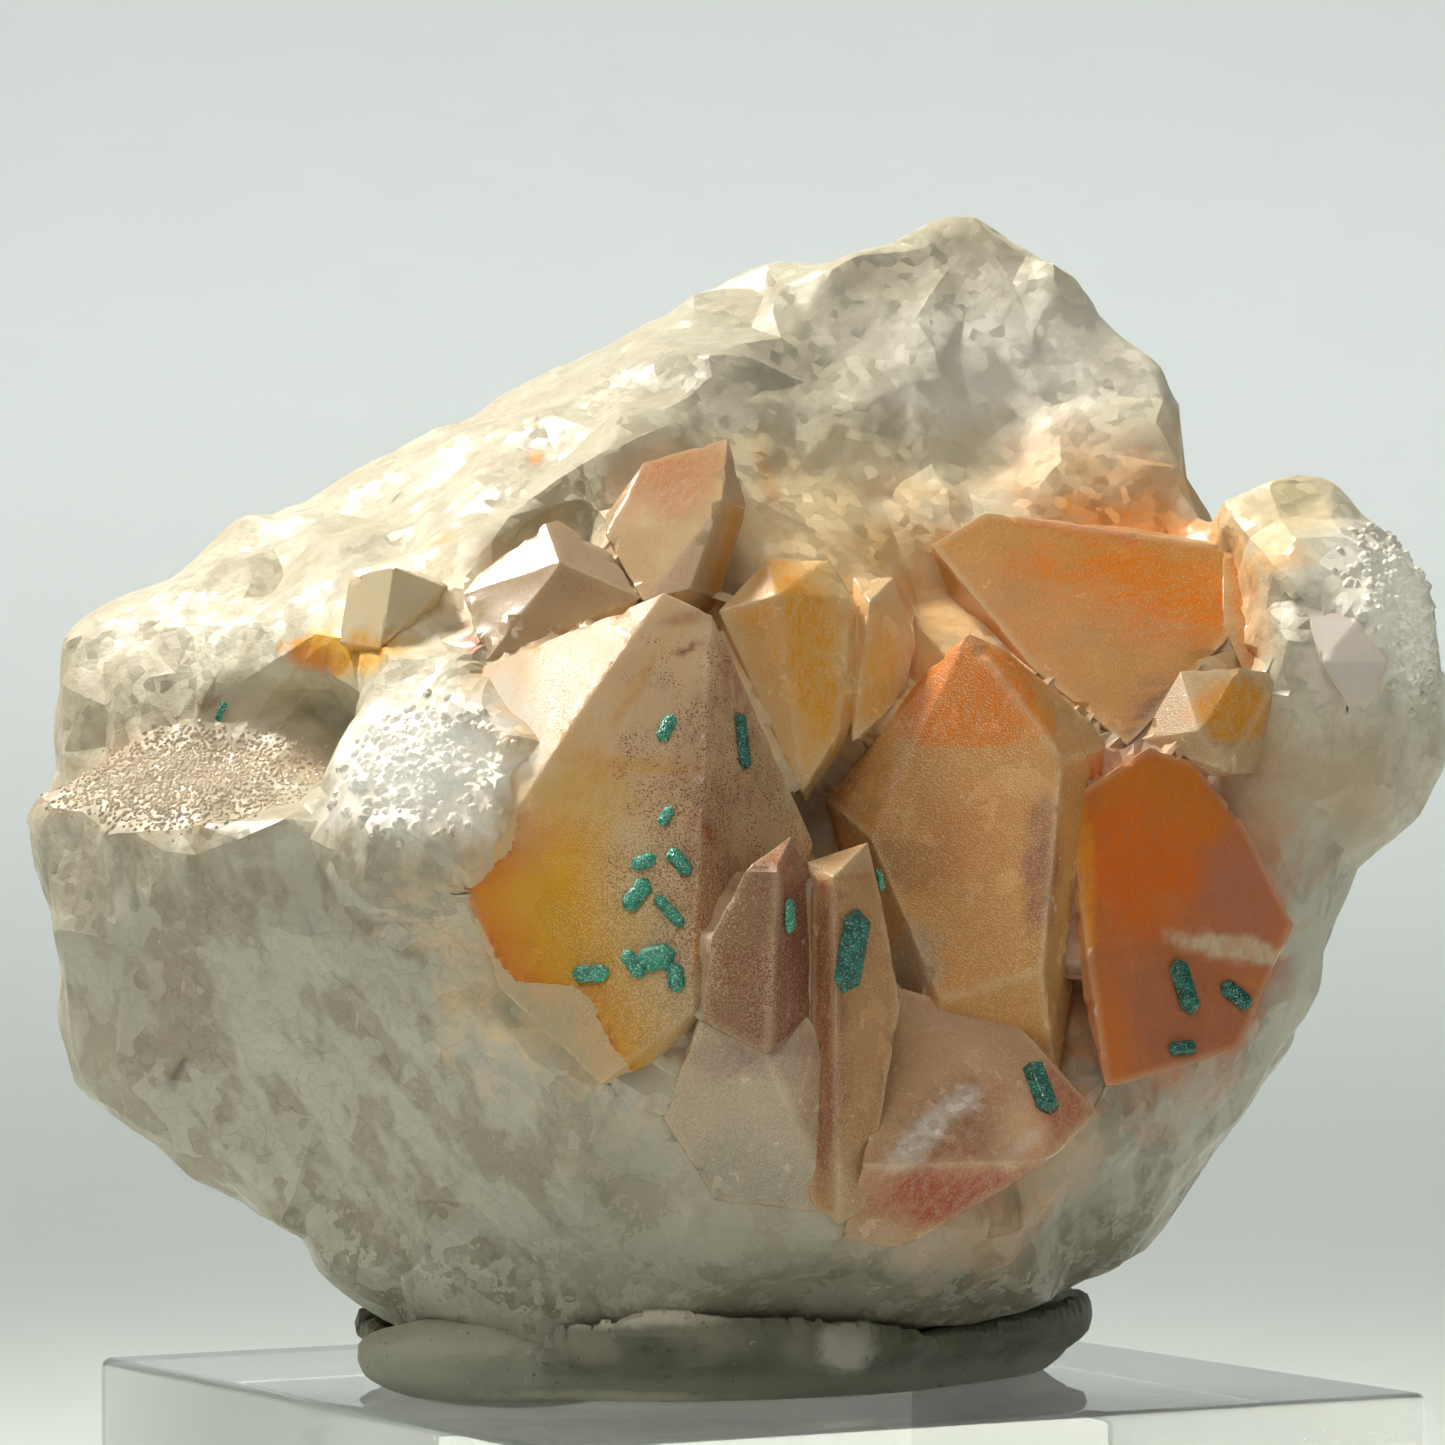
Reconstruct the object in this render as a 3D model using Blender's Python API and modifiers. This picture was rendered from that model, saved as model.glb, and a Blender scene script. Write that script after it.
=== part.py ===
"""Green dioptase crystals on a quartz growth, stuck with putty to a clear square block.

Everything is modelled in millimetres and scaled to metres as it is finished, +Z up.
The origin is the centre of the block's underside and the show face looks towards -Y.
In the tables x runs right, y runs away from the show side and z is the height
above the block's top face.
"""
import math

import bmesh
import bpy
from mathutils import Matrix, Vector, bvhtree, noise

MM = 0.001

# Driving dimensions, in millimetres
BLOCK_SIDE = 31.75
BLOCK_HEIGHT = 12.7
BLOCK_TURN = 29.8
BLOCK_EDGE = 0.35
PAD_CENTRE = (-0.8, 1.2)
PAD_RADIUS = 11.7
PAD_HEIGHT = 3.3
PAD_PROFILE = (0.90, 0.96, 1.0, 1.015, 1.02, 1.01, 0.975)
PAD_SIDES = 48
PAD_LUMP = 0.022
PAD_RIPPLE = 0.012
PAD_FLAT_SPOT = 0.09
PAD_DROOP = 0.17
PAD_GAP = 0.03
SEAT_GAP = 0.3
FOOT_REACH = 0.4
CRYSTAL_GAP = 0.04
CRYSTAL_TIP = 0.75
LOOK_FROM = 30.0
QUARTZ_GRAIN = 0.6
QUARTZ_TRIANGLES = 4600
# Fracture patches on the broken quartz: patch size and how far each one tilts
FRACTURES = ((5.0, 0.9), (1.85, 0.25))
TILT_SPREAD = 9.0

# Massive quartz: chunks between old fracture faces, each the hull of its corners
CHUNKS = {
    "core": [
        (-12.0, -7.0, 16.0), (-8.0, -6.0, 21.5), (-3.0, -5.0, 23.5), (2.0, -3.2, 22.5),
        (3.0, -3.2, 17.0), (7.0, -4.5, 12.0), (0.0, -7.0, 10.0), (12.0, -3.5, 12.0),
        (12.0, -2.0, 19.0), (9.0, -1.0, 23.5), (15.0, 0.0, 20.0), (-12.0, 7.0, 12.0),
        (-12.0, 8.0, 27.0), (2.0, 9.0, 33.0), (14.0, 8.0, 26.0), (14.0, 7.0, 10.0),
        (0.0, 7.0, 5.0),
    ],
    "white_break": [
        (-12.6, -9.8, 17.1), (-13.2, -8.6, 19.8), (-12.4, -6.8, 22.0), (-8.6, -8.4, 22.9),
        (-5.8, -11.2, 21.0), (-5.7, -11.7, 19.8), (-7.2, -12.4, 18.2), (-8.7, -12.6, 16.4),
        (-11.0, -11.4, 17.0), (-9.5, -11.2, 20.6), (-11.6, -9.9, 20.8), (-12.0, -2.0, 22.4),
        (-6.0, -2.0, 22.5), (-6.0, -2.0, 16.0), (-12.0, -2.0, 16.0),
    ],
    "saddle": [
        (-12.8, -4.8, 23.9), (-12.4, -6.6, 22.6), (-9.2, -6.8, 24.2), (-8.4, -7.6, 23.4),
        (-12.6, -7.2, 21.8), (-8.6, -8.3, 22.9), (-13.0, -2.0, 24.0), (-8.0, -2.0, 25.0),
        (-12.0, -2.0, 20.0), (-8.0, -2.0, 20.0),
    ],
    "belly": [
        (-12.5, -10.5, 16.4), (-8.9, -12.0, 16.4), (-4.5, -14.3, 10.2), (-1.5, -14.2, 11.0),
        (2.7, -13.4, 8.8), (3.1, -12.0, 5.2), (7.9, -9.5, 5.3), (6.0, -8.5, 3.5),
        (-1.5, -8.6, 1.6), (-6.5, -8.8, 1.3), (-10.8, -4.6, 1.1), (-13.2, -6.0, 4.2),
        (10.0, -5.0, 2.6), (-3.4, -6.0, 15.6), (4.9, -4.0, 15.6), (-13.4, 6.0, 16.6),
        (5.2, 7.0, 18.6), (9.6, 6.0, 2.0), (-9.8, 6.5, 1.2), (-14.7, 3.0, 4.1),
        (-7.0, 11.0, 1.8), (5.5, 11.4, 2.0), (7.5, 10.4, 9.0), (-10.0, 10.0, 10.0),
    ],
    "left_wall": [
        (-23.2, -2.0, 19.1), (-22.6, -3.0, 15.5), (-22.0, -3.0, 12.3), (-21.4, -3.5, 9.7),
        (-18.5, -5.0, 8.7), (-16.7, -5.5, 7.5), (-12.5, -10.0, 12.3), (-12.5, -9.8, 17.0),
        (-16.7, -8.8, 17.1), (-20.2, -6.0, 17.9), (-14.5, -6.0, 4.9), (-23.4, 4.0, 19.0),
        (-22.3, 5.0, 10.0), (-16.2, 5.0, 5.3), (-13.5, 8.0, 18.6),
    ],
    "shelf": [
        (-23.2, -2.0, 19.1), (-20.2, -6.2, 18.0), (-16.8, -8.8, 17.2), (-13.6, -9.8, 17.9),
        (-12.5, -9.8, 17.0), (-14.3, -4.0, 20.5), (-16.1, -1.0, 21.1), (-20.7, 0.0, 19.7),
        (-22.7, 3.0, 19.3), (-12.7, -6.0, 15.6), (-22.4, 0.0, 15.5), (-13.2, 2.0, 22.0),
    ],
    "left_ridge": [
        (-22.9, 0.5, 20.0), (-22.9, 1.0, 21.3), (-22.4, 2.0, 23.8), (-21.1, 4.0, 25.1),
        (-17.6, 6.0, 27.2), (-15.0, 7.0, 28.9), (-11.6, 7.5, 30.7), (-6.9, 8.0, 32.6),
        (-20.6, -1.0, 19.7), (-18.0, -2.0, 20.5), (-15.5, -3.0, 22.0), (-12.8, -4.5, 23.9),
        (-9.3, -5.5, 25.2), (-7.8, -3.5, 27.3), (-4.8, 0.0, 30.0), (-22.6, 8.0, 19.9),
        (-22.2, 9.0, 24.0), (-15.4, 12.0, 28.0), (-7.1, 13.0, 31.6), (-7.0, 10.0, 18.6),
    ],
    "middle_ridge": [
        (-9.3, 7.5, 31.7), (-6.9, 8.0, 32.6), (-4.9, 8.5, 34.0), (-3.2, 9.0, 35.4),
        (-1.5, 9.0, 36.2), (0.5, 9.0, 36.6), (3.2, 8.0, 36.3), (3.4, 4.0, 31.9),
        (-0.2, 1.5, 31.2), (-3.3, -0.5, 30.4), (-4.8, -1.0, 29.9), (-4.4, -4.0, 23.9),
        (5.1, -1.0, 25.2), (5.3, 13.0, 36.2), (-5.0, 14.0, 33.5), (-5.0, 13.0, 18.5),
        (5.3, 13.0, 22.0),
    ],
    "right_ridge": [
        (3.2, 7.0, 36.4), (4.2, 8.0, 37.2), (5.2, 8.5, 37.8), (7.3, 9.0, 38.5),
        (8.6, 9.0, 38.0), (10.3, 8.0, 36.8), (11.3, 7.5, 35.4), (12.1, 7.0, 33.9),
        (14.2, 6.0, 32.6), (14.4, 5.5, 31.7), (13.8, 5.0, 30.3), (13.4, 3.5, 29.6),
        (8.4, 3.5, 30.6), (3.4, 3.5, 31.8), (5.0, 1.0, 27.9), (6.0, 0.5, 27.0),
        (12.9, 2.0, 27.4), (14.7, 3.0, 28.6), (7.8, 14.0, 36.6), (14.0, 13.0, 31.4),
        (13.8, 11.0, 22.0), (3.6, 11.0, 22.0),
    ],
    "right_body": [
        (13.7, 4.0, 29.6), (14.7, 3.5, 28.6), (15.5, 3.0, 28.1), (16.7, 0.0, 26.5),
        (17.6, -1.5, 23.9), (17.4, -2.0, 22.3), (16.0, -1.5, 23.1), (17.8, -3.0, 19.1),
        (19.4, -1.5, 16.2), (18.6, -1.0, 14.5), (18.3, -1.0, 13.1), (17.6, -1.0, 11.3),
        (16.1, -3.5, 14.0), (11.4, -2.0, 20.0), (11.3, -4.0, 15.6), (15.5, 11.0, 28.1),
        (19.9, 10.0, 22.0), (19.8, 9.0, 14.2), (18.0, 8.0, 10.5), (5.2, 8.0, 22.0),
    ],
    "knob": [
        (15.3, 1.0, 28.0), (16.0, 1.0, 28.8), (16.8, 1.0, 29.2), (18.2, 1.5, 29.5),
        (19.1, 1.5, 29.0), (20.1, 1.0, 28.0), (20.7, 0.5, 27.2), (21.7, 1.0, 26.9),
        (22.4, 1.0, 26.2), (22.8, 1.5, 24.9), (22.9, 1.5, 22.0), (22.9, 2.0, 19.5),
        (22.1, 1.5, 18.2), (21.3, 1.5, 17.2), (19.6, 1.0, 16.1), (16.6, -1.5, 26.5),
        (17.8, -3.2, 25.2), (20.0, -3.5, 25.2), (20.9, -3.8, 22.6), (18.6, -4.2, 20.7),
        (17.4, -3.5, 20.1), (20.3, -3.0, 19.1), (18.6, 7.0, 28.7), (22.4, 8.0, 24.7),
        (22.3, 7.0, 19.3), (18.7, 8.0, 18.6),
    ],
    "lower_right": [
        (18.3, -1.0, 13.1), (18.7, -0.5, 12.6), (17.6, -1.0, 11.3), (16.4, -2.0, 10.2),
        (16.2, -2.0, 9.2), (14.6, -3.0, 8.2), (13.6, -3.0, 6.6), (13.0, -2.5, 4.9),
        (11.7, -2.0, 3.6), (10.7, -3.0, 3.1), (7.9, -8.5, 4.7), (9.8, -8.0, 7.8),
        (11.1, -7.5, 9.7), (14.4, -5.0, 10.4), (15.8, -4.0, 10.9), (15.9, -3.0, 14.3),
        (11.3, -4.0, 15.6), (18.6, 7.0, 11.9), (15.3, 7.0, 6.8), (11.9, 6.0, 2.9),
        (5.2, 6.0, 11.9),
    ],
}

# Quartz points: the corners of each, and the corner groups that lie in one flat face.
# A face's first three corners fix its plane and the others are slid onto it along y.
POINTS = {
    "hero": {
        "tip": (-2.6, -10.5, 25.3), "wing": (-8.3, -8.8, 23.0), "knee": (-5.3, -11.4, 21.4),
        "brow": (-1.1, -10.9, 24.6), "foot": (-1.7, -14.3, 12.5), "heel": (-4.5, -14.8, 10.3),
        "chip": (-7.6, -13.9, 13.2), "side": (-8.7, -12.8, 16.1), "bay": (-7.2, -12.2, 18.2),
        "flank": (0.3, -9.0, 20.7), "hip": (2.1, -9.0, 17.4), "nape": (-1.4, -8.6, 24.7),
        "back": (-7.6, -6.5, 22.4), "root": (-6.0, -3.0, 12.0), "hide": (2.4, -5.0, 10.0),
        "rear": (-1.5, -4.5, 23.6),
    },
    "dark_point": {
        "tip": (1.3, -13.2, 17.8), "left": (0.0, -13.6, 16.9), "right": (1.7, -13.3, 16.8),
        "crest": (0.9, -14.6, 17.0), "wide": (-1.1, -13.9, 14.8), "low": (-1.4, -14.4, 12.2),
        "vee": (0.6, -15.0, 11.2), "end": (1.6, -13.8, 12.3), "in_a": (0.5, -10.5, 17.0),
        "in_b": (-1.0, -11.0, 12.0), "in_c": (1.5, -10.5, 12.5),
    },
    "tall_point": {
        "far": (3.7, -12.0, 17.6), "left": (1.8, -12.8, 17.0), "mid": (2.6, -14.2, 16.6),
        "notch": (2.0, -13.6, 16.3), "toe": (2.8, -13.9, 5.9), "right": (4.1, -12.8, 15.8),
        "hem": (4.7, -12.4, 12.6), "side": (1.9, -13.2, 6.6), "in_a": (2.0, -8.0, 16.5),
        "in_b": (4.5, -8.0, 14.0), "in_c": (3.0, -8.0, 6.0), "low": (3.6, -12.6, 6.4),
    },
    "pink_point": {
        "crest": (3.5, -13.9, 7.8), "rim": (9.0, -12.2, 7.8), "shelf": (8.5, -8.5, 11.8),
        "start": (4.7, -9.0, 13.0), "hump": (6.7, -8.5, 12.4), "fall": (10.2, -9.0, 9.9),
        "tip": (10.9, -9.8, 9.2), "lip": (9.6, -11.5, 8.0), "cut": (8.4, -12.0, 7.2),
        "keel": (6.5, -12.0, 6.1), "toe": (4.7, -11.6, 5.0), "heel": (2.9, -12.0, 5.4),
        "in_a": (4.0, -6.0, 12.0), "in_b": (9.0, -6.0, 10.5), "in_c": (8.6, -7.0, 7.0),
        "in_d": (4.0, -7.0, 5.6),
    },
    "capped_point": {
        "tip": (7.0, -6.0, 24.1), "low": (6.0, -9.0, 12.6), "left": (3.9, -7.0, 17.6),
        "mid": (9.9, -7.6, 20.1), "base": (9.2, -9.4, 13.5), "brow": (5.7, -5.0, 22.9),
        "edge": (2.5, -5.0, 18.8), "cap": (8.2, -5.6, 23.6), "bend": (9.3, -5.6, 22.3),
        "end": (12.0, -2.5, 20.5), "in_a": (5.0, 0.0, 20.0), "in_b": (11.0, 0.0, 18.0),
        "in_c": (7.6, -2.0, 22.9), "in_d": (4.0, -3.0, 13.0), "in_e": (10.5, -3.0, 12.0),
    },
    "orange_point": {
        "tip": (12.8, -5.2, 20.5), "low": (11.2, -8.8, 9.8), "right": (17.5, -4.0, 14.8),
        "brow": (14.3, -4.8, 20.0), "bend": (15.9, -4.5, 18.0), "hem": (15.6, -6.5, 10.9),
        "strip": (10.1, -6.0, 18.8), "edge": (10.4, -6.2, 15.5), "toe": (10.6, -7.6, 12.4),
        "in_a": (12.0, -1.0, 19.0), "in_b": (16.0, -1.0, 17.2), "in_c": (16.6, -1.0, 13.0),
        "in_d": (12.0, -2.0, 10.0),
    },
    "striped_point": {
        "edge": (7.8, 0.8, 28.1), "end": (14.2, 1.0, 27.2), "low": (9.3, -2.5, 22.9),
        "start": (6.0, 0.0, 27.0), "crest": (12.9, 1.5, 27.6), "tip": (12.2, -2.2, 20.5),
        "inner": (13.6, -2.0, 22.5), "rim": (15.6, -1.6, 24.0), "last": (16.5, 1.0, 26.9),
        "in_a": (6.5, 4.0, 26.0), "in_b": (16.0, 4.0, 26.0), "in_c": (12.0, 3.0, 20.0),
        "in_d": (8.0, 2.0, 22.0),
    },
    "striped_arm": {
        "a": (15.6, 0.8, 27.0), "b": (18.0, 0.0, 25.2), "c": (17.4, -2.2, 22.4),
        "d": (16.0, -1.9, 23.0), "e": (15.4, -1.4, 24.4), "f": (17.0, 4.0, 26.0),
        "g": (18.0, 3.0, 22.0), "h": (15.5, 3.0, 22.0),
    },
    "cream_point": {
        "tip": (13.9, -3.5, 22.9), "left": (12.6, -3.9, 20.7), "top": (15.8, -3.4, 23.0),
        "right": (17.3, -2.5, 22.8), "foot": (15.2, -5.3, 19.7), "crest": (14.4, -4.9, 21.0),
        "in_a": (13.0, -1.0, 19.0), "in_b": (17.2, -1.0, 19.5), "in_c": (15.0, 1.0, 22.4),
    },
    "upper_point": {
        "tip": (-0.6, -3.0, 30.4), "ledge": (-3.3, -3.6, 29.6), "left": (-4.5, -4.2, 27.9),
        "waist": (-4.5, -5.0, 27.2), "crest": (-0.8, -5.4, 28.3), "right": (0.0, -4.0, 28.1),
        "low": (-1.8, -6.6, 25.5), "base": (-3.3, -6.8, 25.1), "side": (-0.9, -4.6, 25.2),
        "in_a": (-4.0, 0.0, 27.0), "in_b": (-0.6, 0.0, 28.6), "in_c": (-2.0, -1.0, 23.0),
    },
    "bright_point": {
        "tip": (-6.0, -5.5, 27.7), "peak": (-6.4, -5.8, 27.6), "left": (-8.6, -6.0, 25.9),
        "edge": (-9.0, -6.4, 25.3), "right": (-4.3, -6.0, 26.6), "crest": (-5.9, -7.4, 26.3),
        "low": (-3.4, -7.4, 25.2), "base": (-8.2, -8.4, 23.2), "in_a": (-8.0, -3.0, 25.0),
        "in_b": (-4.0, -3.0, 26.0), "in_c": (-5.0, -6.0, 22.0),
    },
    "pale_point": {
        "tip": (-12.7, -4.2, 25.9), "left": (-13.0, -4.8, 23.8), "right": (-9.6, -5.8, 25.6),
        "crest": (-11.2, -6.0, 26.2), "low": (-11.6, -6.6, 23.6), "in_a": (-12.0, 0.0, 25.4),
        "in_b": (-9.5, -1.0, 25.8), "in_c": (-11.0, -3.0, 22.0),
    },
    "middle_point": {
        "tip": (0.7, -5.0, 26.5), "left": (-0.9, -6.2, 24.8), "top": (2.6, -4.6, 26.5),
        "right": (3.3, -5.3, 25.2), "edge": (2.9, -6.9, 20.9), "low": (1.7, -7.8, 19.1),
        "crest": (0.9, -6.6, 25.3), "in_a": (-0.5, -3.0, 21.0), "in_b": (0.5, -1.0, 26.0),
        "in_c": (3.0, -1.0, 25.0), "in_d": (2.0, -3.0, 18.5),
    },
    "second_point": {
        "tip": (3.4, -4.2, 25.9), "top": (4.7, -3.8, 25.9), "right": (5.4, -4.2, 23.7),
        "edge": (5.0, -4.9, 22.1), "low": (3.3, -6.3, 20.6), "crest": (3.9, -5.4, 25.1),
        "in_a": (3.0, -1.0, 22.0), "in_b": (5.4, -1.0, 25.0), "in_c": (4.6, -2.0, 21.0),
    },
    "clear_point": {
        "a": (17.9, -3.0, 25.0), "b": (19.6, -3.6, 24.6), "c": (20.5, -4.2, 23.2),
        "d": (20.2, -4.5, 22.2), "e": (19.2, -4.6, 21.7), "f": (18.3, -4.3, 23.2),
        "g": (18.4, -1.0, 24.0), "h": (20.0, -1.0, 22.4),
    },
}
FLAT_FACES = {
    "hero": [("tip", "knee", "foot", "brow", "heel", "chip", "side", "bay")],
    "dark_point": [("crest", "vee", "low", "wide", "left")],
    "tall_point": [("mid", "toe", "right", "hem", "low")],
    "pink_point": [("crest", "rim", "shelf", "start", "hump", "fall")],
    "capped_point": [("tip", "low", "left", "mid", "base")],
    "orange_point": [("tip", "low", "right", "brow", "bend", "hem")],
    "striped_point": [("edge", "end", "low", "start", "tip")],
}

# Dioptase crystals: where the centre sits (x, z), length, width and lean of the long
# axis from upright, clockwise as seen from the show side, in degrees
DIOPTASES = {
    "dioptase_hero_top": (-2.5, 21.1, 1.10, 0.56, 25),
    "dioptase_hero_side": (-0.2, 20.7, 1.90, 0.52, 0),
    "dioptase_hero_upper": (-2.5, 18.4, 0.86, 0.50, 25),
    "dioptase_hero_mid_left": (-3.2, 17.0, 1.00, 0.58, 70),
    "dioptase_hero_mid_right": (-2.1, 17.0, 1.20, 0.60, -40),
    "dioptase_hero_low_left": (-3.4, 16.0, 1.36, 0.72, 35),
    "dioptase_hero_low_right": (-2.4, 15.5, 1.44, 0.50, -42),
    "dioptase_stain": (-4.8, 13.6, 1.34, 0.68, 88),
    "dioptase_dark_point": (1.2, 15.4, 1.22, 0.52, 3),
    "dioptase_tall_point": (3.1, 14.3, 2.74, 1.06, 14),
    "dioptase_pink_point": (9.1, 9.9, 2.20, 0.82, -3),
    "dioptase_orange_upright": (13.8, 12.9, 1.96, 0.78, -12),
    "dioptase_orange_slanted": (15.5, 12.6, 1.40, 0.70, -52),
    "dioptase_orange_low": (13.7, 11.0, 1.18, 0.54, 86),
    "dioptase_left_pit": (-16.9, 21.6, 0.80, 0.36, 20),
}
# One more sits on the tall point's right side: centre (y, z), length, width and lean
SIDE_DIOPTASE = ("dioptase_tall_edge", -11.9, 16.4, 0.90, 0.50, -20)
# Three that grew into each other
CLUSTER = [
    (-3.5, 13.9, 1.20, 0.60, -35),
    (-2.8, 14.1, 1.40, 0.90, 75),
    (-2.2, 13.5, 1.10, 0.66, -8),
]


def model_point(x, y, z):
    """A table point in the model's own frame."""
    return Vector((x, y, z + BLOCK_HEIGHT))


def collection(name):
    made = bpy.data.collections.new(name)
    bpy.context.scene.collection.children.link(made)
    return made


def finish(name, mesh, material, home):
    """Scale a finished mesh to metres and put it in the scene under its name."""
    mesh.transform(Matrix.Scale(MM, 4))
    made = bpy.data.objects.new(name, mesh)
    mesh.name = name
    mesh.materials.clear()
    mesh.materials.append(material)
    home.objects.link(made)
    return made


def material(name, colour, roughness, transmission=0.0, ior=1.5):
    made = bpy.data.materials.new(name)
    made.use_nodes = True
    shader = made.node_tree.nodes["Principled BSDF"]
    shader.inputs["Base Color"].default_value = (*colour, 1.0)
    shader.inputs["Roughness"].default_value = roughness
    shader.inputs["Metallic"].default_value = 0.0
    shader.inputs["Transmission Weight"].default_value = transmission
    shader.inputs["IOR"].default_value = ior
    return made


def hull_mesh(name, corners):
    """The closed convex solid round a list of corners."""
    shape = bmesh.new()
    for corner in corners:
        shape.verts.new(corner)
    hull = bmesh.ops.convex_hull(shape, input=shape.verts)
    inside = [item for item in hull["geom_interior"] if isinstance(item, bmesh.types.BMVert)]
    bmesh.ops.delete(shape, geom=inside, context="VERTS")
    bmesh.ops.dissolve_limit(
        shape, angle_limit=math.radians(0.5), verts=shape.verts, edges=shape.edges)
    bmesh.ops.recalc_face_normals(shape, faces=shape.faces)
    mesh = bpy.data.meshes.new(name)
    shape.to_mesh(mesh)
    shape.free()
    return mesh


def evaluated_mesh(target):
    """The object's mesh with its modifiers applied."""
    graph = bpy.context.evaluated_depsgraph_get()
    return bpy.data.meshes.new_from_object(target.evaluated_get(graph))


def boolean(target, cutter, operation):
    """Join or cut target with cutter, then drop the cutter."""
    step = target.modifiers.new(operation.lower(), "BOOLEAN")
    step.operation = operation
    step.solver = "EXACT"
    step.object = cutter
    mesh = evaluated_mesh(target)
    target.modifiers.remove(step)
    target.data = mesh
    bpy.data.objects.remove(cutter)


def flat_corners(name):
    """A quartz point's corners, with its flat faces made truly flat."""
    corners = {key: Vector(value) for key, value in POINTS[name].items()}
    for first, second, third, *others in FLAT_FACES.get(name, []):
        base = corners[first]
        normal = (corners[second] - base).cross(corners[third] - base)
        for key in others:
            step = corners[key] - base
            step.y = 0.0
            corners[key].y = base.y - normal.dot(step) / normal.y
    return [model_point(*corner) for corner in corners.values()]


def fracture_height(point, cell, tilt):
    """Height of a broken surface: flat patches of one cell size, each tilted its own way."""
    place = point / cell
    centre = noise.voronoi(place)[1][0]
    way = noise.cell_vector(centre * TILT_SPREAD) - Vector((0.5, 0.5, 0.5))
    return (place - centre).dot(way) * tilt


def massive_quartz(home):
    """The broken white quartz: chunks fused by a remesh, then given fracture patches."""
    shape = bmesh.new()
    for corners in CHUNKS.values():
        piece = hull_mesh("chunk", [model_point(*corner) for corner in corners])
        shape.from_mesh(piece)
        bpy.data.meshes.remove(piece)
    mesh = bpy.data.meshes.new("massive")
    shape.to_mesh(mesh)
    shape.free()
    body = bpy.data.objects.new("massive", mesh)
    home.objects.link(body)
    remesh = body.modifiers.new("fuse", "REMESH")
    remesh.mode = "VOXEL"
    remesh.voxel_size = QUARTZ_GRAIN
    fused = evaluated_mesh(body)
    body.modifiers.remove(remesh)
    body.data = fused
    normals = [vertex.normal.copy() for vertex in fused.vertices]
    for vertex, normal in zip(fused.vertices, normals):
        height = sum(fracture_height(vertex.co, cell, tilt) for cell, tilt in FRACTURES)
        vertex.co += normal * height
    thin = body.modifiers.new("thin", "DECIMATE")
    thin.ratio = QUARTZ_TRIANGLES / (2 * len(fused.polygons))
    body.data = evaluated_mesh(body)
    body.modifiers.remove(thin)
    return body


def quartz_growth(scrap):
    """One solid: the massive quartz with every quartz point joined to it."""
    body = massive_quartz(scrap)
    for name in POINTS:
        point = bpy.data.objects.new(name, hull_mesh(name, flat_corners(name)))
        scrap.objects.link(point)
        boolean(body, point, "UNION")
    return body


def face_under(tree, x, z):
    """Where the show side's surface lies at (x, z), and which way it faces."""
    place, normal, _, _ = tree.ray_cast(model_point(x, -LOOK_FROM, z), Vector((0.0, 1.0, 0.0)))
    return place, normal


def face_beside(tree, y, z):
    """Where the right side's surface lies at (y, z), and which way it faces."""
    place, normal, _, _ = tree.ray_cast(model_point(LOOK_FROM, y, z), Vector((-1.0, 0.0, 0.0)))
    return place, normal


def lying_crystal(place, normal, length, width, lean):
    """Corners of a six-sided crystal with pointed ends, lying half sunk in a face."""
    up = (Vector((0.0, 0.0, 1.0)) - normal * normal.z).normalized()
    along = Matrix.Rotation(math.radians(-lean), 3, normal) @ up
    across = normal.cross(along)
    radius = width / 2
    shoulder = length / 2 - radius * CRYSTAL_TIP
    corners = []
    for end in (-1, 1):
        corners.append(place + along * end * length / 2)
        for side in range(6):
            angle = math.radians(60 * side)
            ring = across * math.cos(angle) + normal * math.sin(angle)
            corners.append(place + along * end * shoulder + ring * radius)
    return corners


def cut_flat(mesh, place, normal):
    """Keep the part of a mesh that stands above the face it sits on."""
    shape = bmesh.new()
    shape.from_mesh(mesh)
    everything = shape.verts[:] + shape.edges[:] + shape.faces[:]
    cut = bmesh.ops.bisect_plane(
        shape, geom=everything, plane_co=place, plane_no=normal, clear_inner=True)
    rim = [item for item in cut["geom_cut"] if isinstance(item, bmesh.types.BMEdge)]
    bmesh.ops.contextual_create(shape, geom=rim)
    bmesh.ops.recalc_face_normals(shape, faces=shape.faces)
    shape.to_mesh(mesh)
    shape.free()


def single_crystal(name, place, normal, size, home, finish_material):
    """One dioptase crystal on a face: size is its length, width and lean."""
    mesh = hull_mesh(name, lying_crystal(place, normal, *size))
    cut_flat(mesh, place + normal * CRYSTAL_GAP, normal)
    finish(name, mesh, finish_material, home)


def dioptases(home, scrap, quartz_body, finish_material):
    """Every dioptase crystal seated on the quartz face under it."""
    tree = bvhtree.BVHTree.FromObject(quartz_body, bpy.context.evaluated_depsgraph_get())
    for name, (x, z, *size) in DIOPTASES.items():
        place, normal = face_under(tree, x, z)
        single_crystal(name, place, normal, size, home, finish_material)
    name, y, z, *size = SIDE_DIOPTASE
    place, normal = face_beside(tree, y, z)
    single_crystal(name, place, normal, size, home, finish_material)
    place, normal = face_under(tree, *CLUSTER[1][:2])
    group = None
    for x, z, length, width, lean in CLUSTER:
        spot, _ = face_under(tree, x, z)
        corners = lying_crystal(spot, normal, length, width, lean)
        single = bpy.data.objects.new("single", hull_mesh("single", corners))
        scrap.objects.link(single)
        if group is None:
            group = single
        else:
            boolean(group, single, "UNION")
    mesh = group.data
    bpy.data.objects.remove(group)
    cut_flat(mesh, place + normal * CRYSTAL_GAP, normal)
    finish("dioptase_cluster", mesh, finish_material, home)


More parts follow.
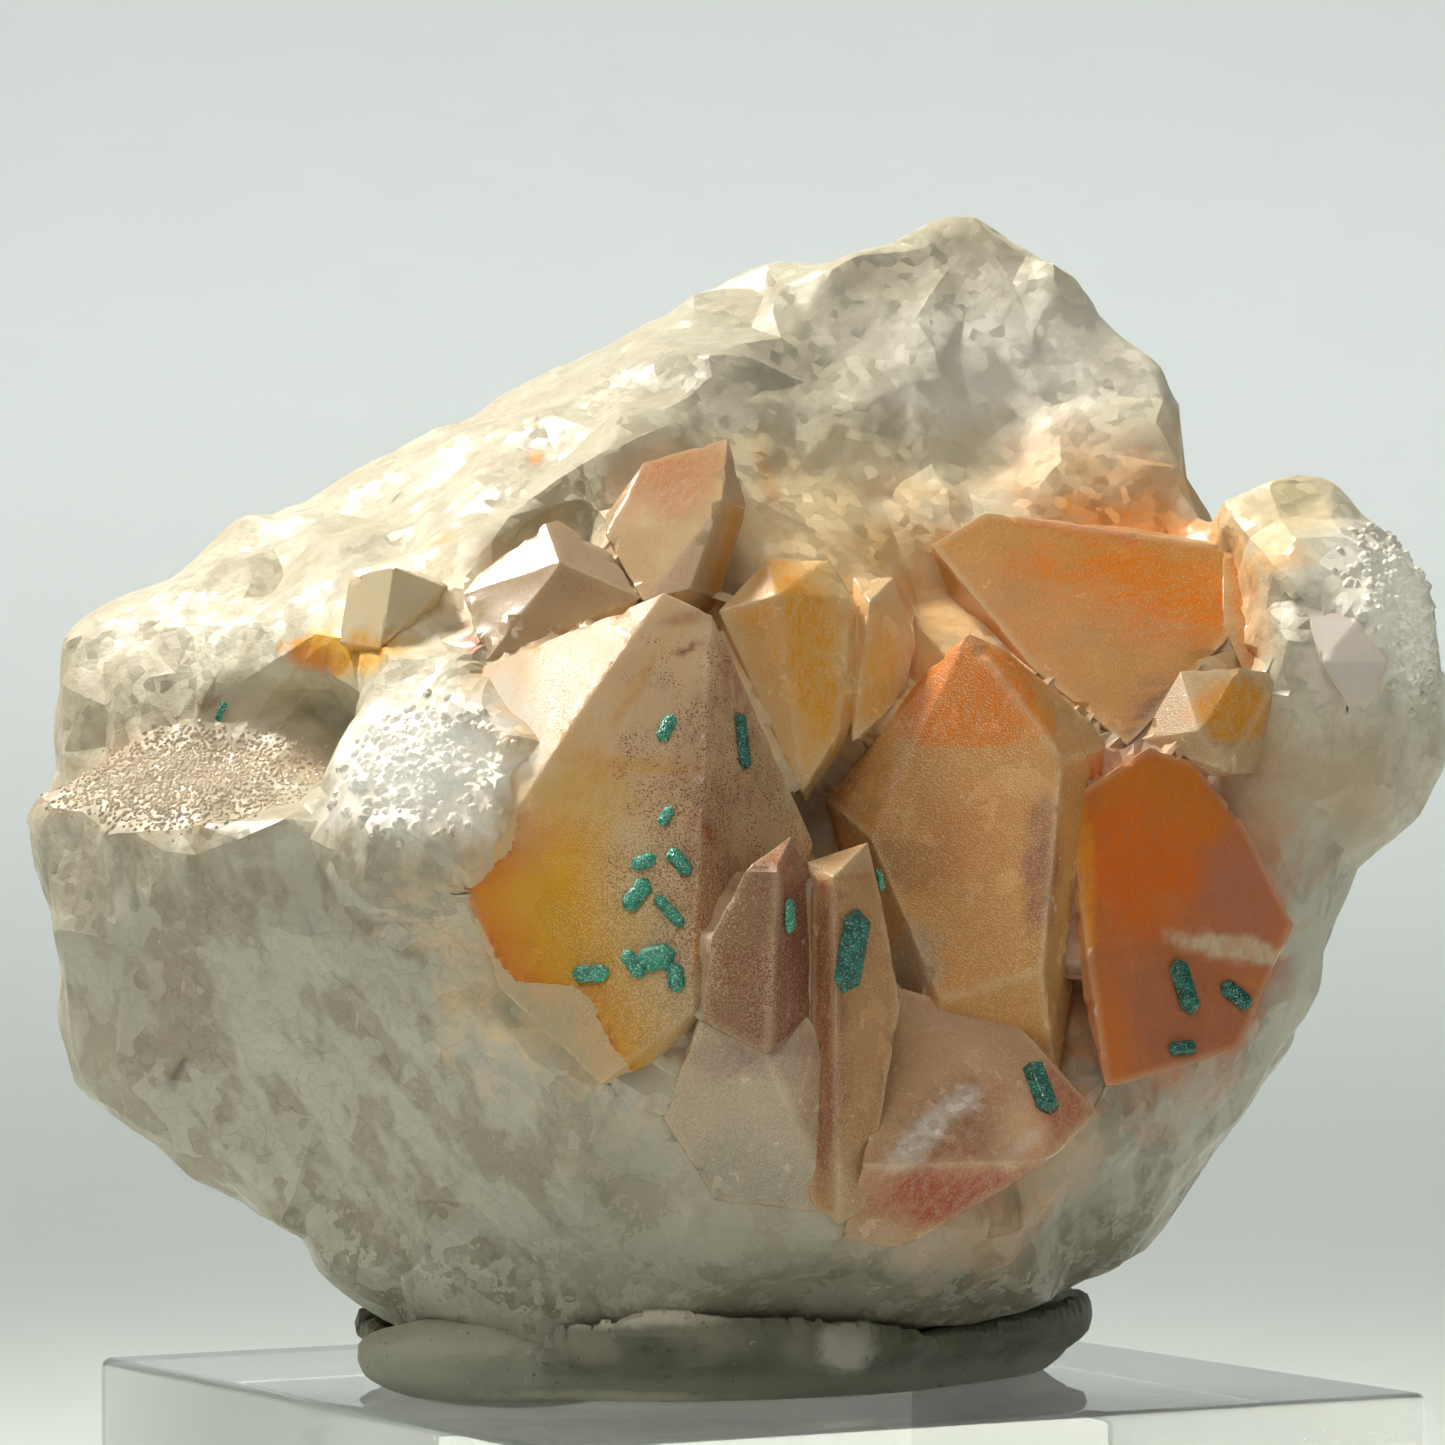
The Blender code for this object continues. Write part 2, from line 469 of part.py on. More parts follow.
def keep_largest(mesh):
    """Drop the loose slivers that a cut left beside the main body."""
    shape = bmesh.new()
    shape.from_mesh(mesh)
    left = set(shape.verts)
    bodies = []
    while left:
        body = {left.pop()}
        front = list(body)
        while front:
            vertex = front.pop()
            near = {edge.other_vert(vertex) for edge in vertex.link_edges} & left
            left -= near
            body |= near
            front.extend(near)
        bodies.append(body)
    bodies.sort(key=len)
    loose = [vertex for body in bodies[:-1] for vertex in body]
    bmesh.ops.delete(shape, geom=loose, context="VERTS")
    shape.to_mesh(mesh)
    shape.free()


def putty_pad(home, scrap, quartz_body, finish_material):
    """A flattened pad of putty, pressed up round the foot of the quartz."""
    shape = bmesh.new()
    bmesh.ops.create_cone(
        shape, cap_ends=True, segments=PAD_SIDES, radius1=PAD_RADIUS,
        radius2=PAD_RADIUS, depth=PAD_HEIGHT)
    sides = [edge for edge in shape.edges if abs(edge.verts[0].co.z - edge.verts[1].co.z) > 0.01]
    bmesh.ops.subdivide_edges(shape, edges=sides, cuts=len(PAD_PROFILE) - 2)
    half = PAD_HEIGHT / 2
    for vertex in shape.verts:
        angle = math.atan2(vertex.co.y, vertex.co.x)
        rise = (vertex.co.z + half) / (2 * half)
        bulge = PAD_PROFILE[round(rise * (len(PAD_PROFILE) - 1))]
        lump = PAD_LUMP * math.sin(3 * angle + 0.6)
        ripple = PAD_RIPPLE * math.sin(7 * angle + 2.0 + rise)
        front_right = PAD_FLAT_SPOT * max(0.0, math.cos(angle + 0.9)) ** 3
        vertex.co.x *= bulge + lump + ripple - front_right
        vertex.co.y *= bulge + lump + ripple - front_right
        vertex.co.z -= PAD_DROOP * (1 - math.sin(angle + 2.6)) * rise * half
        vertex.co += Vector((*PAD_CENTRE, BLOCK_HEIGHT + PAD_GAP + half))
    bmesh.ops.recalc_face_normals(shape, faces=shape.faces)
    mesh = bpy.data.meshes.new("putty_pad")
    shape.to_mesh(mesh)
    shape.free()
    pad = bpy.data.objects.new("pad", mesh)
    scrap.objects.link(pad)
    foot_top = BLOCK_HEIGHT + PAD_HEIGHT + FOOT_REACH
    foot = [vertex.co for vertex in quartz_body.data.vertices if vertex.co.z < foot_top]
    centre = Vector((*PAD_CENTRE, 0.0))
    grown = []
    for point in foot:
        flat = Vector((point.x, point.y, 0.0)) - centre
        grown.append(point + flat.normalized() * SEAT_GAP - Vector((0.0, 0.0, SEAT_GAP)))
    dent = bpy.data.objects.new("dent", hull_mesh("dent", grown))
    scrap.objects.link(dent)
    boolean(pad, dent, "DIFFERENCE")
    keep_largest(pad.data)
    finish("putty_pad", pad.data, finish_material, home)
    bpy.data.objects.remove(pad)


def clear_block(home, finish_material):
    """The square clear block with narrow bevelled edges."""
    bpy.ops.mesh.primitive_cube_add(size=1.0, location=(0, 0, BLOCK_HEIGHT * MM / 2))
    block = bpy.context.object
    block.name = "clear_block"
    block.data.name = "clear_block"
    block.scale = (BLOCK_SIDE * MM, BLOCK_SIDE * MM, BLOCK_HEIGHT * MM)
    bpy.ops.object.transform_apply(location=False, rotation=False, scale=True)
    block.rotation_euler.z = math.radians(BLOCK_TURN)
    bevel = block.modifiers.new("edges", "BEVEL")
    bevel.width = BLOCK_EDGE * MM
    bevel.segments = 2
    block.data.materials.append(finish_material)
    for old in block.users_collection:
        old.objects.unlink(block)
    home.objects.link(block)


def build():
    for old in list(bpy.data.objects):
        bpy.data.objects.remove(old)
    home = collection("dioptase_specimen")
    scrap = collection("cutters")
    quartz_body = quartz_growth(scrap)
    green = material("dioptase", (0.01, 0.30, 0.22), 0.2, 0.2, 1.66)
    dioptases(home, scrap, quartz_body, green)
    putty_pad(home, scrap, quartz_body, material("putty", (0.58, 0.57, 0.50), 0.7))
    finish("quartz", quartz_body.data, material("quartz", (0.78, 0.72, 0.62), 0.25, 0.3, 1.54), home)
    bpy.data.objects.remove(quartz_body)
    clear_block(home, material("clear_acrylic", (0.95, 0.97, 0.97), 0.02, 1.0, 1.49))


build()
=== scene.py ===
import math

import bmesh
import bpy
import numpy as np
from mathutils import Matrix, Vector, noise


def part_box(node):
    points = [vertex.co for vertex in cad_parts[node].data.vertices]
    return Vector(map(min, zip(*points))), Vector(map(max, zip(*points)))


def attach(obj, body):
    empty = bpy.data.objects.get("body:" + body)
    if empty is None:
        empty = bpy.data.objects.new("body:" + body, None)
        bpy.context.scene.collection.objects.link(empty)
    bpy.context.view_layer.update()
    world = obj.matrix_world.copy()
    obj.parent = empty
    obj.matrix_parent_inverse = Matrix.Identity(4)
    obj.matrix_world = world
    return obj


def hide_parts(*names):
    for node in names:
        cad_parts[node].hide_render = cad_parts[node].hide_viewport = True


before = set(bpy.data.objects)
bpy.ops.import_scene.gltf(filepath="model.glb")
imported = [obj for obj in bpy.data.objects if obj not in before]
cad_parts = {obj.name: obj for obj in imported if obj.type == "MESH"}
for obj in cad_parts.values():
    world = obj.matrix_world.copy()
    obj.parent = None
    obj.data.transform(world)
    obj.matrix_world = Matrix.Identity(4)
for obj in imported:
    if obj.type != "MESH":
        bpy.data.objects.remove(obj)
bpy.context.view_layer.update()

# The photograph's own view. The near, left and right corners of the block's top face
# gave the focal length, the height above the block and the distance.
MM = 0.001
FRAME_PIXELS = 1445
FOCAL_PIXELS = 6790
SENSOR = 36.0
HORIZON_ROW = 698
EYE_ACROSS = -0.78
EYE_DISTANCE = 221.2
EYE_ABOVE_BLOCK = 22.04
BLOCK_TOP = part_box("clear_block")[1].z / MM


def stand(name, data):
    """A new object for a camera, a lamp or a mesh, linked into the scene."""
    made = bpy.data.objects.new(name, data)
    bpy.context.scene.collection.objects.link(made)
    return made


eye = bpy.data.cameras.new("photo_view")
eye.sensor_width = SENSOR
eye.lens = SENSOR * FOCAL_PIXELS / FRAME_PIXELS
camera = stand("photo_view", eye)
camera.location = Vector((EYE_ACROSS, -EYE_DISTANCE, BLOCK_TOP + EYE_ABOVE_BLOCK)) * MM
nod = math.atan((FRAME_PIXELS / 2 - HORIZON_ROW) / FOCAL_PIXELS)
camera.rotation_euler = (math.radians(90) - nod, 0.0, 0.0)
bpy.context.scene.camera = camera
bpy.context.scene.view_settings.view_transform = "Standard"


# Pale table and wall: one smooth sweep of paper, so that no line shows behind the specimen.
# The paper's colour is painted darker up the wall, a painted shade, as the photograph's backdrop darkens.
def join(value, socket):
    """Link a wire to a node's input, or set the input to a plain value."""
    if isinstance(value, Wire):
        value.tree.links.new(value.socket, socket)
    else:
        socket.default_value = value


def new_node(tree, kind, settings=None, inputs=None):
    """Any node: its settings first, then its inputs."""
    made = tree.nodes.new(kind)
    for name, value in (settings or {}).items():
        setattr(made, name, value)
    for name, value in (inputs or {}).items():
        join(value, made.inputs[name])
    return made


class Wire:
    """A node socket that takes part in plain arithmetic."""

    def __init__(self, tree, socket):
        self.tree = tree
        self.socket = socket

    def sum_node(self, operation, first, second):
        """A maths node over two wires or numbers."""
        made = new_node(self.tree, "ShaderNodeMath", {"operation": operation})
        join(first, made.inputs[0])
        join(second, made.inputs[1])
        return Wire(self.tree, made.outputs[0])

    def __add__(self, other):
        return self.sum_node("ADD", self, other)

    def __sub__(self, other):
        return self.sum_node("SUBTRACT", self, other)

    def __rsub__(self, other):
        return self.sum_node("SUBTRACT", other, self)

    def __mul__(self, other):
        return self.sum_node("MULTIPLY", self, other)

    def __truediv__(self, other):
        return self.sum_node("DIVIDE", self, other)

    __radd__ = __add__
    __rmul__ = __mul__

    def most(self, other):
        return self.sum_node("MAXIMUM", self, other)

    def ramp(self, low, high):
        """0 below low, 1 above high and smooth between; low may be the larger."""
        flip = low > high
        made = new_node(self.tree, "ShaderNodeMapRange", {"interpolation_type": "SMOOTHSTEP"}, {
            "Value": self, "From Min": min(low, high), "From Max": max(low, high),
            "To Min": float(flip), "To Max": float(not flip)})
        return Wire(self.tree, made.outputs["Result"])


class Finish:
    """A material under construction: its nodes, its surface shader and common patterns."""

    def __init__(self, name, **shader):
        self.material = bpy.data.materials.new(name)
        self.material.use_nodes = True
        self.tree = self.material.node_tree
        self.surface = self.tree.nodes["Principled BSDF"]
        for socket, value in shader.items():
            self.feed(socket.replace("_", " "), value)
        place = self.node("ShaderNodeTexCoord", output="Object")
        self.millimetres = self.vector("SCALE", place, scale=1 / MM)
        split = self.node("ShaderNodeSeparateXYZ", inputs={"Vector": self.millimetres}, output=None)
        self.x, self.y, self.z = (Wire(self.tree, split.outputs[axis]) for axis in "XYZ")
        self.z = self.z - BLOCK_TOP
        self.rag = self.noise(1.3, detail=2.0, offset=1.0) * 2.0 - 1.0
        self.fine = self.noise(0.35, detail=2.0, offset=2.0) * 2.0 - 1.0

    def feed(self, socket, value):
        """Set or link one input of the surface shader."""
        join(value, self.surface.inputs[socket])

    def node(self, kind, settings=None, inputs=None, output=0):
        """Any node, as a wire from the output asked for, or whole where output is None."""
        made = new_node(self.tree, kind, settings, inputs)
        return made if output is None else Wire(self.tree, made.outputs[output])

    def vector(self, operation, first, second=None, scale=None):
        """A vector maths node over wires or plain vectors."""
        made = new_node(self.tree, "ShaderNodeVectorMath", {"operation": operation})
        join(first, made.inputs[0])
        if second is not None:
            join(second, made.inputs[1])
        if scale is not None:
            join(scale, made.inputs["Scale"])
        number = operation in ("LENGTH", "DOT_PRODUCT")
        return Wire(self.tree, made.outputs["Value" if number else "Vector"])

    def noise(self, size, detail=3.0, roughness=0.55, offset=0.0, stretch=(1, 1, 1)):
        """Smooth noise of one patch size in millimetres, 0 to 1."""
        spot = self.millimetres
        if offset or stretch != (1, 1, 1):
            spot = self.vector("MULTIPLY", spot, stretch)
            spot = self.vector("ADD", spot, (offset, offset, offset))
        return self.node("ShaderNodeTexNoise", inputs={
            "Vector": spot, "Scale": 1 / size, "Detail": detail, "Roughness": roughness})

    def shards(self, size, offset=0.0):
        """One random number, 0 to 1, for each ragged patch of one size in millimetres."""
        spot = self.vector("ADD", self.millimetres, (offset, offset, offset))
        drift = self.node("ShaderNodeTexNoise", inputs={
            "Vector": spot, "Scale": 1.6 / size, "Detail": 1.0}, output="Color")
        drift = self.vector("SUBTRACT", drift, (0.5, 0.5, 0.5))
        drift = self.vector("SCALE", drift, scale=2.0 * size)
        cell = self.node("ShaderNodeTexVoronoi", inputs={
            "Vector": self.vector("ADD", spot, drift), "Scale": 1 / size}, output="Color")
        return self.node("ShaderNodeSeparateColor", inputs={"Color": cell}, output="Red")

    def leaning(self, lean, reach, centre=(0.0, 0.0, 0.0)):
        """Coordinates round a centre, turned clockwise as seen from the front, in units of reach."""
        return self.node("ShaderNodeMapping", {"vector_type": "TEXTURE"}, {
            "Vector": self.millimetres, "Location": centre,
            "Rotation": (0.0, math.radians(lean), 0.0), "Scale": reach})

    def patch(self, centre, reach, lean=0.0, soft=0.6):
        """1 inside an egg-shaped patch with a ragged rim."""
        x, y, z = centre
        there = self.leaning(lean, reach, (x, y, z + BLOCK_TOP))
        far = self.vector("LENGTH", there) + self.rag * 0.35 * min(1.0, soft + 0.2)
        far = far + self.fine * 0.30
        return far.ramp(1.0 + soft / 2, 1.0 - soft / 2)

    def side_of(self, field):
        """Near 0 within an upright field (centre and reach in x and z), falling away outside it."""
        (x, z), (wide, tall) = field
        across = (self.x - x) / wide
        up = (self.z - z) / tall
        return 0.35 - 0.5 * (across * across + up * up)

    def streaks(self, lean, thin, long):
        """Noise drawn out in one direction; lean is clockwise from upright."""
        return self.node("ShaderNodeTexNoise", inputs={
            "Vector": self.leaning(lean, (thin, thin, long)),
            "Scale": 1.0, "Detail": 3.0, "Roughness": 0.6})

    def facets(self, size, offset=0.0):
        """Height of flat chips of one size, each tilted its own way, as a share of the size."""
        spot = self.vector("ADD", self.millimetres, (offset, offset, offset))
        spot = self.vector("SCALE", spot, scale=1 / size)
        cell = self.node("ShaderNodeTexVoronoi", inputs={"Vector": spot, "Scale": 1.0}, output=None)
        step = self.vector("SUBTRACT", spot, Wire(self.tree, cell.outputs["Position"]))
        tilt = self.vector("SUBTRACT", Wire(self.tree, cell.outputs["Color"]), (0.5, 0.5, 0.5))
        return self.vector("DOT_PRODUCT", step, tilt)

    def marked(self, name, output="Fac"):
        """What was written on the mesh's vertices under a name."""
        return self.node("ShaderNodeAttribute", {"attribute_name": name}, output=output)

    def mix(self, factor, first, second):
        """Blend two colours."""
        made = new_node(self.tree, "ShaderNodeMix", {"data_type": "RGBA"})
        join(factor, made.inputs[0])
        for slot, colour in ((6, first), (7, second)):
            join((*colour, 1.0) if isinstance(colour, tuple) else colour, made.inputs[slot])
        return Wire(self.tree, made.outputs[2])

    def relief(self, height, distance, strength=1.0, under=None):
        """A bump of height 0 to 1, distance millimetres deep."""
        inputs = {"Height": height, "Distance": distance * MM, "Strength": strength}
        if under is not None:
            inputs["Normal"] = under
        return self.node("ShaderNodeBump", inputs=inputs, output="Normal")


# The sweep in metres, and the heights in millimetres between which its paper is painted darker, as painted
# shade
SWEEP_WIDTH = 2.4
SWEEP_FRONT = -1.2
SWEEP_BACK = 0.75
SWEEP_BEND = 0.66
SWEEP_RISE = 1.3
PAPER_SHADE_FADE = (10.0, 110.0)
PAPER_GRAIN = 9.0

profile = [(SWEEP_FRONT, 0.0)]
for turn in range(0, 91, 5):
    profile.append((SWEEP_BACK - SWEEP_BEND + SWEEP_BEND * math.sin(math.radians(turn)),
                    SWEEP_BEND - SWEEP_BEND * math.cos(math.radians(turn))))
profile.append((SWEEP_BACK, SWEEP_RISE))
sheet = bmesh.new()
for side in (-SWEEP_WIDTH / 2, SWEEP_WIDTH / 2):
    row = [sheet.verts.new((side, y, z)) for y, z in profile]
    for first, second in zip(row, row[1:]):
        sheet.edges.new((first, second))
bmesh.ops.bridge_loops(sheet, edges=sheet.edges)
bmesh.ops.recalc_face_normals(sheet, faces=sheet.faces)
sweep_mesh = bpy.data.meshes.new("sweep")
sheet.to_mesh(sweep_mesh)
sheet.free()
sweep_mesh.shade_smooth()
sweep = stand("sweep", sweep_mesh)
paper = Finish("pale_paper", Roughness=0.8)
grain = paper.noise(PAPER_GRAIN, detail=2.0)
low_paper = paper.mix(grain, (0.75, 0.81, 0.79), (0.78, 0.84, 0.82))
high_paper = paper.mix(grain, (0.44, 0.475, 0.46), (0.46, 0.495, 0.48))
# Painted shade: the paper's colour darkens from the table up the wall.
paper.feed("Base Color", paper.mix(paper.z.ramp(*PAPER_SHADE_FADE), low_paper, high_paper))
sweep_mesh.materials.append(paper.material)


# Lamps: a soft window light high on the left, as the bright upper left faces show, a glint
# that only shows in what shines, a fill from high in front and a wash over the wall.
SPECIMEN_CENTRE = (0.0, 0.0, 0.033)
WALL_SPOT = (0.0, 0.72, 0.34)
# Each soft square lamp: place and aim in metres, width, power, colour and spread in degrees
LAMPS = {
    "window": ((-0.25, 0.12, 0.45), SPECIMEN_CENTRE, 0.09, 0.155, (1.0, 0.94, 0.83), 36),
    "glint": ((-0.332, -0.092, 0.398), SPECIMEN_CENTRE, 0.08, 0.8, (1.0, 0.97, 0.92), 180),
    "high_fill": ((-0.10, -0.45, 0.62), SPECIMEN_CENTRE, 0.30, 1.12, (1.0, 0.95, 0.86), 180),
    "wall_wash": ((0.0, -0.10, 0.95), WALL_SPOT, 0.6, 3.7, (1.0, 1.0, 1.0), 75),
}
ROOM_TINT = (0.80, 0.79, 0.72, 1.0)
ROOM_LIGHT = 0.20

for name, (place, aim, width, power, colour, spread) in LAMPS.items():
    light = bpy.data.lights.new(name, "AREA")
    light.size = width
    light.energy = power
    light.color = colour
    light.spread = math.radians(spread)
    lamp = stand(name, light)
    lamp.location = place
    lamp.rotation_euler = (Vector(aim) - Vector(place)).to_track_quat("-Z", "Y").to_euler()
    lamp.visible_diffuse = name != "glint"

room = bpy.data.worlds.new("soft_room")
room.use_nodes = True
join(ROOM_TINT, room.node_tree.nodes["Background"].inputs["Color"])
join(ROOM_LIGHT, room.node_tree.nodes["Background"].inputs["Strength"])
bpy.context.scene.world = room


# Clear block: cast acrylic, sawn square and polished, with narrow rounded edges.
# It carries the putty, a little dust and a few hairline scratches on its top.
BLOCK_SIDE = 31.75
BLOCK_TURN = math.radians(29.8)
BLOCK_EDGE = 0.35
ACRYLIC_COVER = 0.85


def piece(name, mesh, finish, node, smooth=30):
    """Scale a mesh from millimetres, dress it and let it stand for its solid."""
    mesh.transform(Matrix.Scale(MM, 4))
    mesh.name = name
    mesh.materials.clear()
    mesh.materials.append(finish.material)
    mesh.shade_smooth()
    mesh.set_sharp_from_angle(angle=math.radians(smooth))
    made = stand(name, mesh)
    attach(made, "root")
    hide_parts(node)


def mesh_of(shape, name):
    """A bmesh as a mesh with its faces pointing outwards."""
    bmesh.ops.recalc_face_normals(shape, faces=shape.faces)
    mesh = bpy.data.meshes.new(name)
    shape.to_mesh(mesh)
    shape.free()
    return mesh


def rounded(shape, width, segments):
    """Round every edge of a form; one segment leaves a narrow flat."""
    bmesh.ops.bevel(shape, geom=shape.edges[:], offset=width, segments=segments,
                    profile=0.5, affect="EDGES")


block = bmesh.new()
bmesh.ops.create_cube(block, size=1.0)
bmesh.ops.scale(block, vec=(BLOCK_SIDE, BLOCK_SIDE, BLOCK_TOP), verts=block.verts)
rounded(block, BLOCK_EDGE, 5)
bmesh.ops.rotate(block, matrix=Matrix.Rotation(BLOCK_TURN, 3, "Z"), verts=block.verts)
bmesh.ops.translate(block, vec=(0.0, 0.0, BLOCK_TOP / 2), verts=block.verts)

acrylic = Finish("clear_acrylic", Base_Color=(0.97, 0.985, 0.98, 1.0), IOR=1.49,
                 Transmission_Weight=1.0, Alpha=ACRYLIC_COVER)
dust = acrylic.noise(0.16, detail=2.0).ramp(0.70, 0.76) * acrylic.noise(5.0).ramp(0.45, 0.65)
acrylic.feed("Roughness", dust * 0.35 + acrylic.noise(6.0).ramp(0.3, 0.7) * 0.02)
scratch = acrylic.noise(0.5, detail=1.0, stretch=(0.06, 1.0, 1.0)).ramp(0.62, 0.66)
acrylic.feed("Normal", acrylic.relief(scratch, 0.004, 0.3))
piece("acrylic_block", mesh_of(block, "acrylic_block"), acrylic, "clear_block")


# Putty pad: soft grey-cream putty pressed flat on the block by the stone's weight.
# Its rim folded over itself in front, tore a little on the left and took one round bump.
def cad_copy(node):
    """A CAD node's mesh in millimetres with its loose triangles merged."""
    shape = bmesh.new()
    shape.from_mesh(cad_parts[node].data)
    bmesh.ops.scale(shape, vec=(1 / MM,) * 3, verts=shape.verts)
    bmesh.ops.remove_doubles(shape, verts=shape.verts, dist=0.0005)
    return shape


def evaluated(body):
    """The object's mesh with its modifiers applied; the object goes."""
    graph = bpy.context.evaluated_depsgraph_get()
    mesh = bpy.data.meshes.new_from_object(body.evaluated_get(graph))
    body.modifiers.clear()
    bpy.data.objects.remove(body)
    return mesh


def remeshed(shape, voxel, name):
    """The same form as one even net of small faces."""
    body = stand(name, mesh_of(shape, name))
    step = body.modifiers.new("even", "REMESH")
    step.mode = "VOXEL"
    step.voxel_size = voxel
    return evaluated(body)


def move_out(mesh, height):
    """Move every vertex along its normal by height(point, normal) millimetres."""
    ways = [vertex.normal.copy() for vertex in mesh.vertices]
    for vertex, way in zip(mesh.vertices, ways):
        vertex.co += way * height(vertex.co, way)


def bell(point, centre, reach):
    """1 at the middle of an egg-shaped region, 0 at its rim and beyond; z above the block."""
    step = point - Vector((centre[0], centre[1], centre[2] + BLOCK_TOP))
    far = math.sqrt(sum((step[axis] / reach[axis]) ** 2 for axis in range(3)))
    return max(0.0, 1.0 - far) ** 0.5


PUTTY_NET = 0.20
# Centre, reach and rise of the round bump, the folded flap and the torn left end
PUTTY_MARKS = (
    ((3.0, -8.9, 1.5), (0.75, 1.2, 0.75), 0.55),
    ((-2.6, -10.2, 2.3), (1.5, 1.3, 0.5), 0.35),
    ((-8.6, -6.4, 1.3), (0.35, 2.0, 0.5), -0.30),
)
PUTTY_LIP = 0.34
# Centre, reach and colour of its paler patches: left end, flap, lower rim and bump
PALE_PUTTY = (
    ((-9.4, -6.0, 1.5), (3.6, 6.0, 1.9), (0.44, 0.44, 0.35)),
    ((-4.6, -10.0, 3.0), (4.2, 3.0, 0.45), (0.66, 0.63, 0.50)),
    ((-4.6, -11.5, 0.2), (4.4, 4.0, 0.22), (0.70, 0.67, 0.52)),
    ((3.1, -9.8, 1.7), (0.9, 2.0, 0.9), (0.60, 0.59, 0.50)),
)
# Centre and half sizes of the roll that was pushed out at the left
PUTTY_ROLL = ((-7.4, -6.6, 1.0 + BLOCK_TOP), (4.9, 2.6, 1.4))


def putty_height(point, way):
    """Kneaded swells, folds, a rolled lip and the marks; nothing moves where it rests."""
    above = point.z - BLOCK_TOP
    swell = noise.noise(point * 0.35) * 0.16 + noise.noise(point * 1.1) * 0.07
    fold = abs(noise.noise(Vector((point.x * 0.5, point.y * 0.5, point.z * 1.6)))) * 0.16
    pits = noise.noise(point * 3.5) * 0.02
    marks = sum(bell(point, centre, reach) * rise for centre, reach, rise in PUTTY_MARKS)
    resting = min(1.0, max(0.0, (above - 0.15) / 0.4))
    lip = PUTTY_LIP * min(1.0, max(0.0, (above - 0.9) / 0.5))
    return (swell + pits + marks + lip - fold) * resting


pad = cad_copy("putty_pad")
bmesh.ops.create_icosphere(pad, subdivisions=3, radius=1.0, matrix=Matrix.LocRotScale(
    Vector(PUTTY_ROLL[0]), None, Vector(PUTTY_ROLL[1])))
putty_mesh = remeshed(pad, PUTTY_NET, "putty")
move_out(putty_mesh, putty_height)
putty = Finish("putty", Roughness=0.6)
patches = putty.noise(2.2, detail=3.0)
skirt = (putty.z + putty.rag * 0.3).ramp(1.5, 0.5)
putty_tone = putty.mix(patches.ramp(0.35, 0.7), (0.17, 0.17, 0.12), (0.30, 0.29, 0.22))
putty_tone = putty.mix(skirt * 0.7, putty_tone, (0.42, 0.42, 0.33))
for centre, reach, colour in PALE_PUTTY:
    putty_tone = putty.mix(putty.patch(centre, reach, 0, 0.8) * 0.85, putty_tone, colour)
specks = putty.noise(0.3, detail=1.0).ramp(0.70, 0.76)
putty_tone = putty.mix(specks * 0.6, putty_tone, (0.06, 0.06, 0.05))
lint = putty.noise(0.18, detail=1.0, offset=5.0).ramp(0.72, 0.78)
putty.feed("Base Color", putty.mix(lint * 0.5, putty_tone, (0.60, 0.60, 0.52)))
putty.feed("Roughness", 0.5 + 0.25 * patches)
pores = putty.relief(putty.noise(0.14, detail=3.0), 0.015, 0.5)
putty.feed("Normal", putty.relief(putty.noise(0.5, detail=3.0), 0.06, 0.5, pores))
piece("putty_dressed", putty_mesh, putty, "putty_pad")


